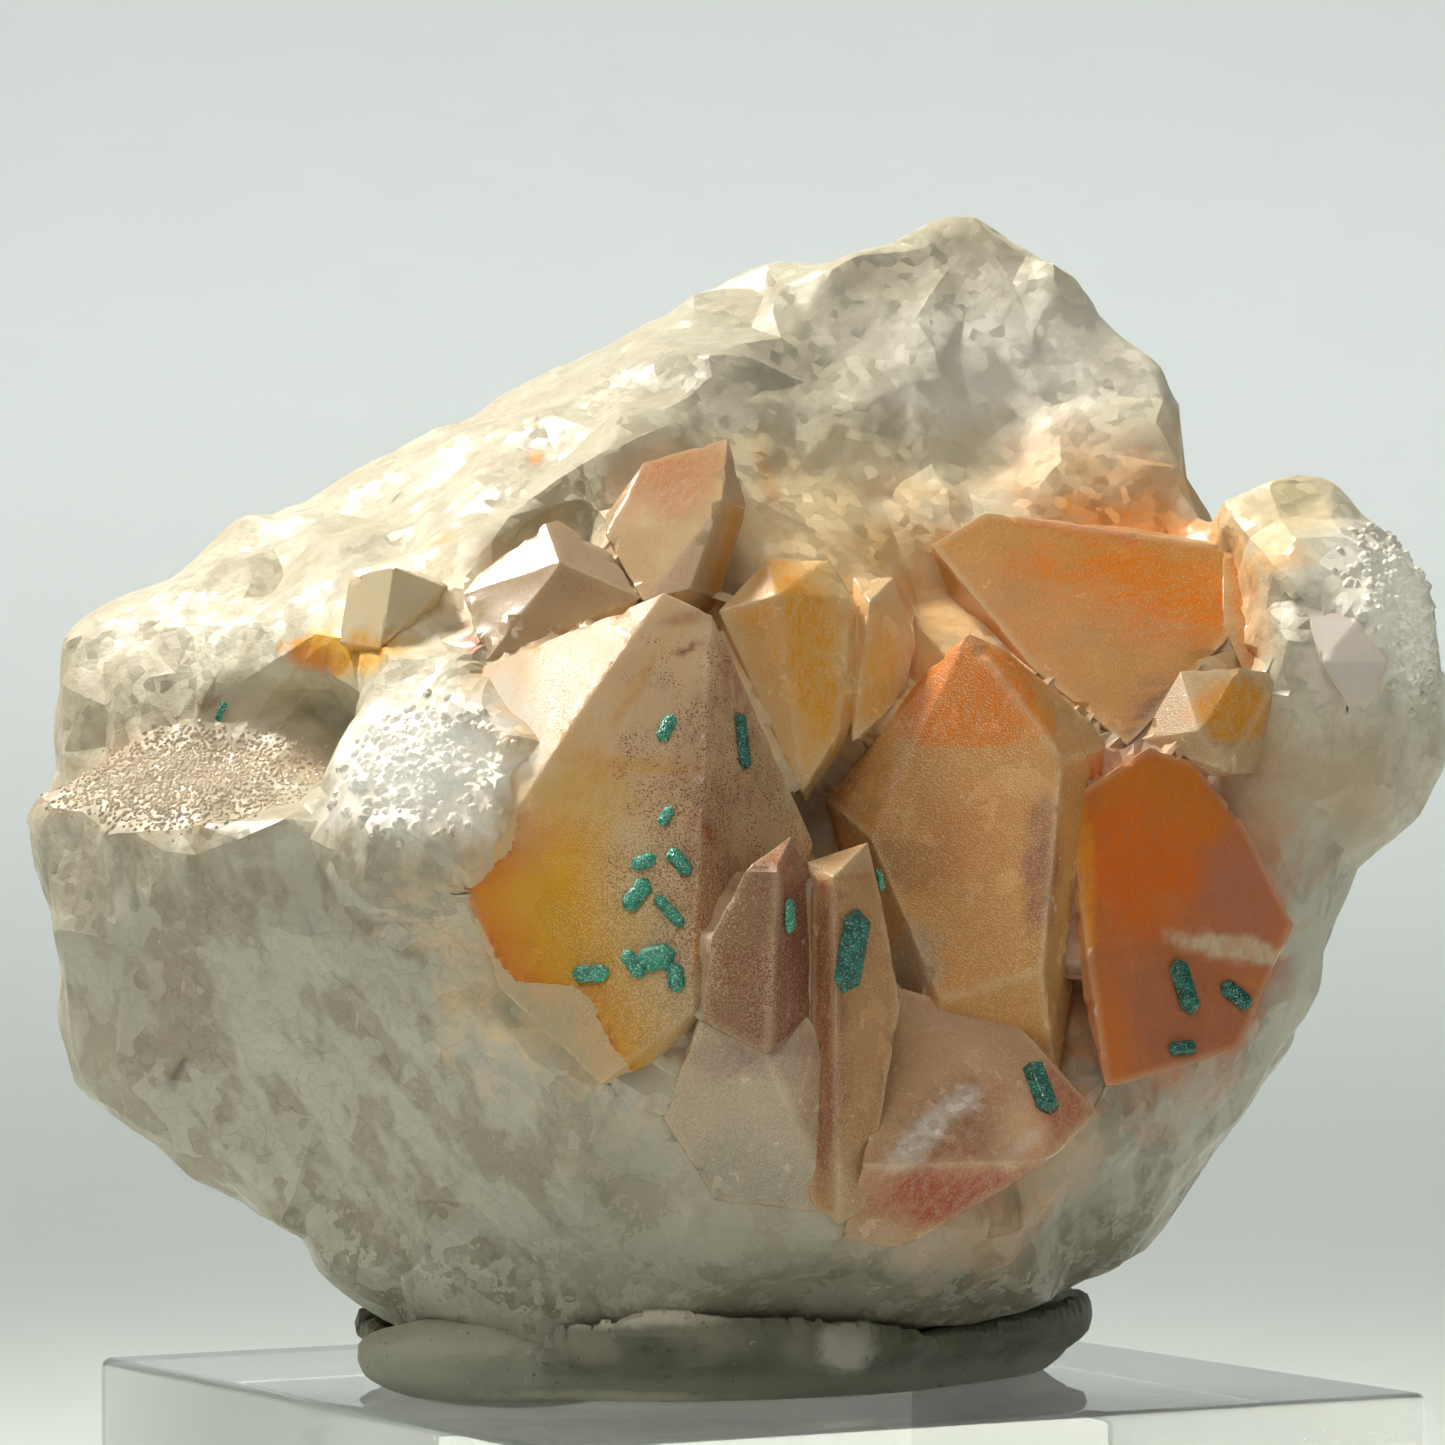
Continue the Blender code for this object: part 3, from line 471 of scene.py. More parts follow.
# Quartz points: hexagonal crystals grown out of the massive quartz, each with flat
# glassy faces and sharp edges, iron stain under the skin and hematite specks in it.
POINTS = {
    "hero": dict(
        tip=(-2.6, -10.5, 25.3), wing=(-8.3, -8.8, 23.0), knee=(-5.3, -11.4, 21.4),
        brow=(-1.1, -10.9, 24.6), foot=(-1.7, -14.3, 12.5), heel=(-4.5, -14.8, 10.3),
        chip=(-7.6, -13.9, 13.2), side=(-8.7, -12.8, 16.1), bay=(-7.2, -12.2, 18.2),
        flank=(0.3, -9.0, 20.7), hip=(2.1, -9.0, 17.4), nape=(-1.4, -8.6, 24.7),
        back=(-7.6, -6.5, 22.4), root=(-6.0, -3.0, 12.0), hide=(2.4, -5.0, 10.0),
        rear=(-1.5, -4.5, 23.6),
    ),
    "dark_point": dict(
        tip=(1.3, -13.2, 17.8), left=(0.0, -13.6, 16.9), right=(1.7, -13.3, 16.8),
        crest=(0.9, -14.6, 17.0), wide=(-1.1, -13.9, 14.8), low=(-1.4, -14.4, 12.2),
        vee=(0.6, -15.0, 11.2), end=(1.6, -13.8, 12.3), in_a=(0.5, -10.5, 17.0),
        in_b=(-1.0, -11.0, 12.0), in_c=(1.5, -10.5, 12.5),
        in_d=(2.4, -12.3, 16.3), in_e=(2.4, -12.3, 12.2),
    ),
    "lined_foot": dict(
        a=(-1.5, -14.15, 12.2), b=(0.6, -14.6, 11.2), c=(1.8, -13.5, 12.3),
        d=(-2.6, -13.6, 9.2), e=(-1.0, -12.9, 6.6), f=(2.7, -12.9, 6.2),
        g=(2.7, -13.4, 11.0), h=(-2.0, -9.0, 12.0), i=(2.4, -9.0, 12.0),
        j=(-1.0, -9.0, 6.6), k=(2.4, -9.0, 6.2),
    ),
    "tall_point": dict(
        far=(3.7, -12.0, 17.6), left=(1.8, -12.8, 17.0), mid=(2.6, -14.2, 16.6),
        notch=(2.0, -13.6, 16.3), toe=(2.8, -13.9, 5.9), right=(4.1, -12.8, 15.8),
        hem=(4.7, -12.4, 12.6), side=(1.9, -13.2, 6.6), in_a=(2.0, -8.0, 16.5),
        in_b=(4.5, -8.0, 14.0), in_c=(3.0, -8.0, 6.0), low=(3.6, -12.6, 6.4),
    ),
    "pink_point": dict(
        crest=(3.5, -13.9, 7.8), rim=(9.0, -12.2, 7.8), shelf=(8.5, -8.5, 11.8),
        start=(4.7, -9.0, 13.0), hump=(6.7, -8.5, 12.4), fall=(10.2, -9.0, 9.9),
        tip=(10.9, -9.8, 9.2), lip=(9.6, -11.5, 8.0), cut=(8.4, -12.0, 7.2),
        keel=(6.5, -12.0, 6.1), toe=(4.7, -11.6, 5.0), heel=(2.9, -12.0, 5.4),
        in_a=(4.0, -6.0, 12.0), in_b=(9.0, -6.0, 10.5), in_c=(8.6, -7.0, 7.0),
        in_d=(4.0, -7.0, 5.6),
    ),
    "capped_point": dict(
        tip=(7.0, -6.0, 24.1), low=(6.0, -9.0, 12.6), left=(3.9, -7.0, 17.6),
        mid=(9.9, -7.6, 20.1), base=(9.2, -9.4, 13.5), brow=(5.7, -5.0, 22.9),
        edge=(2.5, -5.0, 18.8), cap=(8.2, -5.6, 23.6), bend=(9.3, -5.6, 22.3),
        end=(12.0, -2.5, 20.5), in_a=(5.0, 0.0, 20.0), in_b=(11.0, 0.0, 18.0),
        in_c=(7.6, -2.0, 22.9), in_d=(4.0, -3.0, 12.0), in_e=(10.5, -3.0, 10.5),
        under=(5.6, -7.4, 9.8), tail=(9.7, -7.6, 10.2),
    ),
    "orange_point": dict(
        tip=(12.8, -5.2, 20.5), low=(11.2, -8.8, 9.8), right=(17.5, -4.0, 14.8),
        brow=(14.3, -4.8, 20.0), bend=(15.9, -4.5, 18.0), hem=(15.6, -6.5, 10.9),
        strip=(10.1, -6.0, 18.8), edge=(10.4, -6.2, 15.5), toe=(10.6, -7.6, 12.4),
        in_a=(12.0, -1.0, 19.0), in_b=(16.0, -1.0, 17.2), in_c=(16.6, -1.0, 13.0),
        in_d=(12.0, -2.0, 10.0),
    ),
    "striped_point": dict(
        edge=(7.8, 0.8, 28.1), end=(14.2, 1.0, 27.2), low=(9.3, -2.5, 22.9),
        start=(6.0, 0.0, 27.0), crest=(12.9, 1.5, 27.6), tip=(12.2, -2.2, 20.5),
        inner=(13.6, -2.0, 22.5), rim=(15.6, -1.6, 24.0), last=(16.5, 1.0, 26.9),
        in_a=(6.5, 4.0, 26.0), in_b=(16.0, 4.0, 26.0), in_c=(12.0, 3.0, 20.0),
        in_d=(8.0, 2.0, 22.0),
    ),
    "striped_arm": dict(
        a=(15.6, 0.8, 27.0), b=(18.0, 0.0, 25.2), c=(17.4, -2.2, 22.4),
        d=(16.0, -1.9, 23.0), e=(15.4, -1.4, 24.4), f=(17.0, 4.0, 26.0),
        g=(18.0, 3.0, 22.0), h=(15.5, 3.0, 22.0),
    ),
    "cream_point": dict(
        tip=(13.9, -3.5, 22.9), left=(12.6, -3.9, 20.7), top=(15.8, -3.4, 23.0),
        right=(17.3, -2.5, 22.8), foot=(15.2, -5.3, 19.7), crest=(14.4, -4.9, 21.0),
        in_a=(13.0, -1.0, 19.0), in_b=(17.2, -1.0, 19.5), in_c=(15.0, 1.0, 22.4),
    ),
    "upper_point": dict(
        tip=(-0.6, -3.0, 30.4), ledge=(-3.3, -3.6, 29.6), left=(-4.5, -4.2, 27.9),
        waist=(-4.5, -5.0, 27.2), crest=(-0.8, -5.4, 28.3), right=(0.0, -4.0, 28.1),
        low=(-1.8, -6.6, 25.5), base=(-3.3, -6.8, 25.1), side=(-0.9, -4.6, 25.2),
        in_a=(-4.0, 0.0, 27.0), in_b=(-0.6, 0.0, 28.6), in_c=(-2.0, -1.0, 23.0),
    ),
    "bright_point": dict(
        tip=(-6.0, -5.5, 27.7), peak=(-6.4, -5.8, 27.6), left=(-8.6, -6.0, 25.9),
        edge=(-9.0, -6.4, 25.3), right=(-4.3, -6.0, 26.6), crest=(-5.9, -7.4, 26.3),
        low=(-3.4, -7.4, 25.2), base=(-8.2, -8.4, 23.2), in_a=(-8.0, -3.0, 25.0),
        in_b=(-4.0, -3.0, 26.0), in_c=(-5.0, -6.0, 22.0),
    ),
    "pale_point": dict(
        tip=(-12.7, -4.2, 25.9), left=(-13.0, -4.8, 23.8), right=(-9.6, -5.8, 25.6),
        crest=(-11.2, -6.0, 26.2), low=(-11.6, -6.6, 23.6), in_a=(-12.0, 0.0, 25.4),
        in_b=(-9.5, -1.0, 25.8), in_c=(-11.0, -3.0, 22.0),
    ),
    "middle_point": dict(
        tip=(0.7, -5.0, 26.5), left=(-0.9, -6.2, 24.8), top=(2.6, -4.6, 26.5),
        right=(3.3, -5.3, 25.2), edge=(2.9, -6.9, 20.9), low=(1.7, -7.8, 19.1),
        crest=(0.9, -6.6, 25.3), in_a=(-0.5, -3.0, 21.0), in_b=(0.5, -1.0, 26.0),
        in_c=(3.0, -1.0, 25.0), in_d=(2.0, -3.0, 18.5),
        in_e=(3.9, -4.3, 24.4), in_f=(3.8, -5.0, 21.6),
    ),
    "second_point": dict(
        tip=(3.4, -4.2, 25.9), top=(4.7, -3.8, 25.9), right=(5.4, -4.2, 23.7),
        edge=(5.0, -4.9, 22.1), low=(3.3, -6.3, 20.6), crest=(3.9, -5.4, 25.1),
        in_a=(3.0, -1.0, 22.0), in_b=(5.4, -1.0, 25.0), in_c=(4.6, -2.0, 21.0),
    ),
    "clear_point": dict(
        a=(17.9, -3.0, 25.0), b=(19.6, -3.6, 24.6), c=(20.5, -4.2, 23.2),
        d=(20.2, -4.5, 22.2), e=(19.2, -4.6, 21.7), f=(18.3, -4.3, 23.2),
        g=(18.4, -1.0, 24.0), h=(20.0, -1.0, 22.4),
    ),
}
FLAT_FACES = {
    "hero": [("tip", "knee", "foot", "brow", "heel", "chip", "side", "bay")],
    "dark_point": [("crest", "vee", "low", "wide", "left")],
    "tall_point": [("mid", "toe", "right", "hem", "low")],
    "pink_point": [("crest", "rim", "shelf", "start", "hump", "fall")],
    "capped_point": [("tip", "low", "left", "mid", "base")],
    "orange_point": [("tip", "low", "right", "brow", "bend", "hem")],
    "striped_point": [("edge", "end", "low", "start", "tip")],
}
POINT_EDGE = 0.03
POINT_NET = 0.24
# How far a worn edge reaches into a face, how sharply two faces have to meet, and how deep it wears
EDGE_REACH = 0.42
EDGE_ANGLE = 30
EDGE_WEAR = 0.35
SKIN_WAVE = 0.012
# Stands for any depth well inside a point
DEEP_INSIDE = -9.0


def flat_corners(name):
    """A point's corners in the model's frame, with its flat faces made truly flat."""
    corners = {key: Vector(value) for key, value in POINTS[name].items()}
    for first, second, third, *others in FLAT_FACES.get(name, []):
        base = corners[first]
        normal = (corners[second] - base).cross(corners[third] - base)
        for key in others:
            step = corners[key] - base
            step.y = 0.0
            corners[key].y = base.y - normal.dot(step) / normal.y
    return [corner + Vector((0.0, 0.0, BLOCK_TOP)) for corner in corners.values()]


def merge_flat(shape, degrees):
    """Make one face of all that lie within an angle of each other."""
    bmesh.ops.dissolve_limit(
        shape, angle_limit=math.radians(degrees), verts=shape.verts, edges=shape.edges)


def hull(corners):
    """The closed convex solid round a list of corners, flat faces kept whole."""
    shape = bmesh.new()
    for corner in corners:
        shape.verts.new(corner)
    made = bmesh.ops.convex_hull(shape, input=shape.verts)
    inside = [item for item in made["geom_interior"] if isinstance(item, bmesh.types.BMVert)]
    bmesh.ops.delete(shape, geom=inside, context="VERTS")
    merge_flat(shape, 0.5)
    bmesh.ops.recalc_face_normals(shape, faces=shape.faces)
    return shape


def sliced(shape, size):
    """Cut the faces along a grid of planes size apart; flat faces stay flat."""
    for axis in range(3):
        way = Vector((float(axis == 0), float(axis == 1), float(axis == 2)))
        spread = [vertex.co[axis] for vertex in shape.verts]
        for step in range(1, math.ceil((max(spread) - min(spread)) / size)):
            bmesh.ops.bisect_plane(
                shape, geom=shape.verts[:] + shape.edges[:] + shape.faces[:],
                plane_co=way * (min(spread) + step * size), plane_no=way, dist=1e-5)
    bmesh.ops.remove_doubles(shape, verts=shape.verts, dist=0.004)
    bmesh.ops.triangulate(shape, faces=shape.faces[:])


def chips(point, cell, tilt):
    """Broken surface: flat patches of one cell size, each tilted its own way."""
    place = point / cell
    centre = noise.voronoi(place)[1][0]
    way = noise.cell_vector(centre * 9.0) - Vector((0.5, 0.5, 0.5))
    return (place - centre).dot(way) * tilt


def places_of(mesh):
    """Where every vertex is."""
    return np.array([vertex.co for vertex in mesh.vertices])


def mark(mesh, name, values):
    """Write one number on every vertex, for a finish or a modifier to read."""
    mesh.attributes.new(name, "FLOAT", "POINT").data.foreach_set("value", values)


def over_planes(places, planes):
    """The planes' normals, and how far each place is above each plane."""
    normals = np.array([normal for normal, _ in planes])
    return normals, places @ normals.T - np.array([reach for _, reach in planes])


def crystal_skin(mesh, planes):
    """Growth steps on the faces, worn edges, and each vertex's nearness to an edge."""
    normals, depths = over_planes(places_of(mesh), planes)
    lean = np.clip((normals @ normals.T)[depths.argmax(axis=1)], -1.0, 1.0)
    steep = np.sqrt(np.maximum(1.0 - lean ** 2, 1e-4))
    alike = lean > math.cos(math.radians(EDGE_ANGLE))
    behind = np.where(alike, DEEP_INSIDE, depths / steep).max(axis=1)
    near = np.clip(1.0 + behind / EDGE_REACH, 0.0, 1.0)
    mark(mesh, "edge", near)
    ways = [vertex.normal.copy() for vertex in mesh.vertices]
    for vertex, way, worn in zip(mesh.vertices, ways, near):
        point = vertex.co.copy()
        bite = max(0.0, noise.noise(point * 1.7) - 0.18) * worn * worn * EDGE_WEAR
        vertex.co += way * (noise.noise(point * 0.9) * SKIN_WAVE - bite)


ORANGE = (0.86, 0.27, 0.01)
YELLOW = (0.90, 0.46, 0.015)
BLOOD = (0.34, 0.06, 0.03)
ROSE = (0.56, 0.17, 0.09)
# Each stain, and each patch of painted light and shade: centre, reach, lean, colour, strength, softness of
# its rim
STAINS_AND_PAINTED_LIGHT = {
    "hero": [
        ((-2.6, -12.0, 21.4), (3.0, 4.0, 3.2), 0, (0.72, 0.48, 0.31), 0.6, 1.2),
        ((-7.2, -11.0, 20.4), (1.2, 3.0, 3.0), -20, (0.90, 0.87, 0.78), 0.8, 0.8),
        ((-5.8, -13.0, 18.8), (1.9, 3.0, 1.9), 0, (0.88, 0.50, 0.08), 0.8, 1.1),
        ((-7.2, -14.0, 11.2), (2.2, 3.0, 1.9), 0, (0.62, 0.56, 0.38), 1.0, 0.8),
        ((-1.2, -13.0, 17.0), (1.1, 3.0, 5.0), 0, (0.42, 0.19, 0.12), 0.75, 1.1),
        ((0.3, -9.5, 20.5), (1.2, 3.0, 2.6), -20, (0.50, 0.34, 0.20), 0.7, 1.0),
        ((-0.5, -10.0, 23.3), (0.36, 3.0, 2.0), -18, (0.46, 0.13, 0.07), 0.75, 0.9),
        ((-1.8, -11.0, 23.6), (0.12, 3.0, 0.60), 62, BLOOD, 0.8, 0.6),
        ((-1.7, -11.0, 24.6), (0.22, 3.0, 0.95), 74, (0.52, 0.18, 0.09), 0.6, 1.1),
        ((-1.3, -12.5, 18.0), (0.13, 2.0, 0.55), -20, (0.50, 0.09, 0.03), 0.9, 0.4),
        ((-1.6, -13.5, 15.1), (0.10, 2.0, 1.6), 0, ORANGE, 0.8, 0.6),
        ((-3.6, -12.0, 22.2), (0.20, 3.0, 2.0), 33, (0.82, 0.36, 0.06), 0.55, 1.2),
        ((-3.4, -12.0, 20.0), (2.3, 3.0, 0.18), 5, (0.82, 0.40, 0.06), 0.5, 1.2),
    ],
    "dark_point": [
        ((1.4, -14.0, 14.6), (0.5, 3.0, 2.8), 0, (0.26, 0.07, 0.05), 0.8, 0.7),
        ((0.9, -14.0, 16.9), (0.30, 2.0, 0.30), 0, (0.50, 0.09, 0.04), 0.8, 0.4),
        ((-0.4, -14.6, 11.6), (0.10, 2.0, 1.15), 116, (0.22, 0.03, 0.02), 0.85, 0.5),
        ((1.1, -14.6, 11.7), (0.09, 2.0, 0.75), 43, (0.22, 0.03, 0.02), 0.85, 0.5),
        ((0.9, -14.8, 14.0), (0.06, 2.0, 2.8), -4, (0.24, 0.06, 0.04), 0.7, 0.8),
    ],
    "lined_foot": [
        ((0.2, -14.0, 11.2), (1.5, 3.0, 0.7), 0, (0.42, 0.24, 0.22), 0.7, 1.0),
        ((2.2, -13.0, 10.4), (0.7, 3.0, 2.4), 0, (0.42, 0.20, 0.12), 0.7, 1.0),
        ((-0.5, -13.0, 7.0), (3.2, 3.0, 1.6), 0, (0.44, 0.41, 0.32), 0.9, 1.0),
    ],
    "tall_point": [
        ((2.4, -13.6, 11.5), (0.55, 3.0, 5.0), 0, (0.28, 0.08, 0.045), 0.85, 0.6),
        ((2.8, -12.8, 17.0), (1.3, 3.0, 0.5), -8, (0.68, 0.46, 0.27), 0.85, 0.4),
        ((2.4, -13.5, 16.2), (0.60, 3.0, 0.25), 20, (0.30, 0.07, 0.04), 0.8, 0.5),
        ((3.1, -13.0, 6.9), (0.6, 3.0, 1.6), 0, (0.60, 0.44, 0.24), 0.8, 0.9),
    ],
    "pink_point": [
        ((6.9, -12.0, 6.8), (4.0, 3.0, 1.15), 0, (0.50, 0.10, 0.055), 0.95, 0.9),
        ((9.9, -10.0, 9.7), (1.1, 3.0, 1.5), 0, ROSE, 0.85, 0.8),
        ((4.4, -11.0, 10.4), (1.0, 3.0, 2.2), 0, (0.66, 0.40, 0.17), 0.7, 1.0),
        ((3.8, -12.0, 5.5), (1.0, 3.0, 0.55), 0, (0.74, 0.50, 0.34), 0.9, 0.7),
        ((7.3, -9.0, 12.0), (2.0, 3.0, 0.5), 12, (0.66, 0.43, 0.30), 0.8, 0.8),
        ((6.9, -11.5, 9.4), (1.8, 3.0, 0.9), -35, (0.52, 0.24, 0.15), 0.6, 1.0),
        # Painted highlight: the next two pale streaks stand in for a glittering shine across this face.
        ((5.6, -12.0, 8.8), (0.42, 3.0, 1.9), 49, (0.97, 0.90, 0.82), 0.9, 0.8),
        ((8.3, -11.0, 8.1), (0.25, 3.0, 0.9), 49, (0.95, 0.86, 0.78), 0.5, 0.9),
    ],
    "capped_point": [
        ((10.4, -4.0, 21.0), (1.6, 3.0, 1.2), 0, (0.62, 0.42, 0.22), 0.9, 0.6),
        ((4.8, -7.0, 16.8), (1.7, 3.0, 0.9), 0, (0.42, 0.20, 0.06), 0.75, 0.7),
        ((9.2, -8.0, 16.4), (0.55, 3.0, 2.8), 0, (0.30, 0.12, 0.09), 0.85, 0.7),
        ((9.1, -9.0, 13.8), (1.3, 3.0, 0.9), 0, (0.68, 0.36, 0.11), 0.75, 0.9),
        ((9.2, -6.5, 21.3), (0.55, 3.0, 0.60), 0, ORANGE, 0.9, 0.5),
        ((6.9, -7.0, 17.6), (1.3, 3.0, 1.6), 10, (0.72, 0.27, 0.07), 0.6, 1.0),
        ((5.2, -8.0, 13.7), (0.9, 3.0, 1.2), 0, (0.46, 0.40, 0.32), 0.8, 0.6),
        ((3.0, -7.0, 19.2), (0.9, 4.0, 1.5), 40, (0.24, 0.12, 0.06), 0.8, 0.9),
    ],
    "orange_point": [
        ((15.6, -5.0, 15.6), (1.8, 3.0, 2.6), 0, (0.54, 0.20, 0.12), 0.9, 0.9),
        ((13.6, -6.5, 12.0), (2.6, 3.0, 2.2), 0, (0.48, 0.17, 0.09), 0.9, 0.9),
        ((12.9, -5.5, 18.8), (2.6, 3.0, 1.9), 0, (0.74, 0.21, 0.015), 1.0, 0.7),
        ((12.4, -6.5, 16.7), (2.0, 3.0, 1.8), 0, (0.84, 0.17, 0.01), 0.95, 0.8),
        ((10.4, -6.5, 16.4), (0.50, 3.0, 3.4), -3, (0.90, 0.34, 0.012), 1.0, 0.35),
        ((11.1, -8.0, 11.2), (0.9, 3.0, 1.8), 0, (0.72, 0.19, 0.03), 0.9, 0.8),
        ((15.3, -5.5, 14.1), (0.40, 3.0, 1.9), 100, (0.74, 0.60, 0.40), 0.95, 0.35),
        ((9.95, -6.2, 16.6), (0.16, 3.0, 2.6), 0, (0.22, 0.08, 0.08), 0.8, 0.7),
    ],
    "striped_point": [
        ((13.2, -1.0, 25.5), (4.2, 4.0, 1.4), 14, (0.72, 0.19, 0.006), 1.0, 0.7),
        ((9.6, -1.0, 24.6), (2.6, 4.0, 0.7), -24, (0.66, 0.27, 0.04), 0.7, 0.9),
        ((11.4, 0.0, 27.5), (2.6, 4.0, 0.30), 8, (0.62, 0.14, 0.04), 0.8, 0.6),
        # Painted shade: a dark streak in the hollow below the striped point's lower edge.
        ((13.2, -2.0, 21.6), (0.8, 5.0, 2.0), 58, (0.22, 0.11, 0.06), 0.9, 0.9),
    ],
    "striped_arm": [((16.6, -1.0, 24.6), (0.8, 4.0, 2.6), -8, (0.84, 0.24, 0.01), 0.9, 0.8)],
    "cream_point": [((15.6, -4.0, 21.6), (1.4, 3.0, 1.0), 0, (0.88, 0.36, 0.015), 1.0, 0.5)],
    "upper_point": [
        ((-2.3, -4.5, 29.3), (1.5, 3.0, 1.1), -20, (0.68, 0.26, 0.12), 0.75, 1.0),
        ((-0.5, -4.5, 26.6), (0.6, 3.0, 2.2), 20, (0.84, 0.40, 0.07), 0.9, 0.7),
    ],
    "middle_point": [
        ((1.7, -6.0, 23.5), (1.5, 4.0, 3.4), -14, (0.90, 0.38, 0.02), 0.95, 0.8),
        ((0.2, -6.0, 21.0), (1.0, 4.0, 1.6), 0, (0.80, 0.46, 0.20), 0.7, 0.9),
    ],
    "second_point": [((4.1, -5.0, 22.9), (0.75, 4.0, 1.9), 0, (0.88, 0.40, 0.05), 0.85, 0.8)],
    "pale_point": [((-12.3, -5.5, 23.3), (1.6, 3.0, 0.8), 0, YELLOW, 0.9, 0.6)],
}
# How each point looks: its own colour, clearness, share of dust with painted sparkle and of specks
LOOKS = {
    "hero": ((0.95, 0.64, 0.34), 0.25, 0.25, 1.0),
    "dark_point": ((0.38, 0.19, 0.12), 0.15, 0.5, 1.0),
    "lined_foot": ((0.60, 0.47, 0.34), 0.15, 0.5, 0.2),
    "tall_point": ((0.56, 0.29, 0.11), 0.15, 0.5, 0.4),
    "pink_point": ((0.74, 0.45, 0.26), 0.15, 0.5, 0.2),
    "capped_point": ((0.72, 0.36, 0.11), 0.10, 0.7, 0.15),
    "orange_point": ((0.62, 0.19, 0.05), 0.15, 0.1, 0.1),
    "striped_point": ((0.57, 0.27, 0.06), 0.10, 0.30, 0.05),
    "striped_arm": ((0.76, 0.46, 0.20), 0.25, 0.4, 0.2),
    "cream_point": ((0.70, 0.48, 0.26), 0.25, 0.5, 0.2),
    "upper_point": ((0.78, 0.54, 0.30), 0.40, 0.3, 0.2),
    "bright_point": ((0.66, 0.50, 0.32), 0.40, 0.1, 0.3),
    "pale_point": ((0.86, 0.74, 0.50), 0.35, 0.1, 0.1),
    "middle_point": ((0.92, 0.60, 0.28), 0.10, 0.6, 0.05),
    "second_point": ((0.92, 0.62, 0.32), 0.10, 0.6, 0.05),
    "clear_point": ((0.88, 0.80, 0.72), 0.20, 0.1, 0.1),
}


def paint(mesh, stains):
    """Lay ragged stains and patches of painted light and shade over each other in the mesh's colour
    attribute; alpha is their cover.
    """
    places = places_of(mesh)
    coarse = np.array([noise.noise(vertex.co * 0.8) for vertex in mesh.vertices])
    fine = np.array([noise.noise(vertex.co * 2.6) for vertex in mesh.vertices])
    places[:, 2] -= BLOCK_TOP
    colours = np.zeros((len(places), 4))
    for centre, reach, lean, colour, strength, soft in stains:
        x, y, z = (places - np.array(centre)).T
        turn = math.radians(lean)
        across = (x * math.cos(turn) - z * math.sin(turn)) / reach[0]
        along = (x * math.sin(turn) + z * math.cos(turn)) / reach[2]
        far = np.sqrt(across ** 2 + (y / reach[1]) ** 2 + along ** 2)
        far += coarse * 0.5 * min(1.0, soft + 0.2) + fine * 0.25
        share = strength * np.clip((1.0 + soft / 2 - far) / soft, 0.0, 1.0)
        cover = colours[:, 3]
        total = share + cover * (1.0 - share)
        part = np.divide(share, total, out=np.zeros_like(share), where=total > 0)
        colours[:, :3] += (np.array(colour) - colours[:, :3]) * part[:, None]
        colours[:, 3] = total
    layer = mesh.attributes.new("stain", "FLOAT_COLOR", "POINT")
    layer.data.foreach_set("color", colours.ravel())


def stains_and_light_over(finish, tone, streaks):
    """The painted stains, and the painted light and shade among them, over a colour."""
    layer = finish.marked("stain", "Color")
    cover = Wire(finish.tree, layer.socket.node.outputs["Alpha"])
    return finish.mix(cover * streaks, tone, layer)


# The stain's left rim: share of the height from RIM_FOOT to RIM_FOOT + RIM_HEIGHT, and how far right
RIM_FOOT = 9.0
RIM_HEIGHT = 11.0
RIM_LEFT = -8.9
RIM_WIDTH = 10.0
RIM = (
    (0.0, 0.66), (0.11, 0.57), (0.23, 0.47), (0.34, 0.41), (0.388, 0.35), (0.396, 0.18), (0.46, 0.12),
    (0.53, 0.08), (0.60, 0.03), (0.66, 0.02), (0.70, 0.08), (0.76, 0.16), (0.85, 0.18), (1.0, 0.22),
)
STAIN_YELLOW = (0.97, 0.49, 0.015)
STAIN_ORANGE = (0.92, 0.29, 0.003)
STAIN_BURNT = (0.55, 0.12, 0.01)


def hero_stain(finish, tone):
    """The big yellow stain low on the hero: a sharp ragged rim left and below, fading right."""
    rim = finish.node("ShaderNodeFloatCurve", inputs={
        "Value": (finish.z - RIM_FOOT) / RIM_HEIGHT}, output=None)
    curve = rim.mapping.curves[0]
    while len(curve.points) < len(RIM):
        curve.points.new(0.5, 0.5)
    for point, place in zip(curve.points, RIM):
        point.location = place
        point.handle_type = "VECTOR"
    rim.mapping.update()
    edge = Wire(finish.tree, rim.outputs["Value"]) * RIM_WIDTH + RIM_LEFT
    ragged = finish.x - edge + finish.fine * 0.22
    inside = ragged.ramp(0.0, 0.06)
    right = (finish.x + finish.rag * 0.6 + 0.25 * finish.z).ramp(1.3, -1.4)
    top = (finish.z + finish.rag * 0.6).ramp(19.4, 16.4)
    lobe = (finish.z + finish.rag * 0.4).ramp(12.2, 13.6)
    deep = (ragged + finish.rag * 0.8).ramp(2.2, 0.0) * (0.2 + 0.8 * lobe)
    tone = finish.mix(inside * right * top, tone, finish.mix(deep, STAIN_YELLOW, STAIN_ORANGE))
    burnt = ragged.ramp(0.5, 0.0) * inside * finish.fine.ramp(-0.1, 0.25)
    return finish.mix(burnt * right * top * 0.8, tone, STAIN_BURNT)


# Streaks in the stains: lean from upright, and how much of a stain stays between them
STREAKS = (16, 0.62)
STRIPES = (70, 0.35)
# The orange cap: centre, reach, and the heights between which its straight lower rim fades in
CAP = ((6.9, -6.0, 22.6), (2.3, 4.0, 2.9))
CAP_RIM = (20.4, 20.62)
CAP_TONE = (0.82, 0.22, 0.008)
WORN_AND_HIGHLIT_EDGE_TONE = (0.90, 0.70, 0.46)
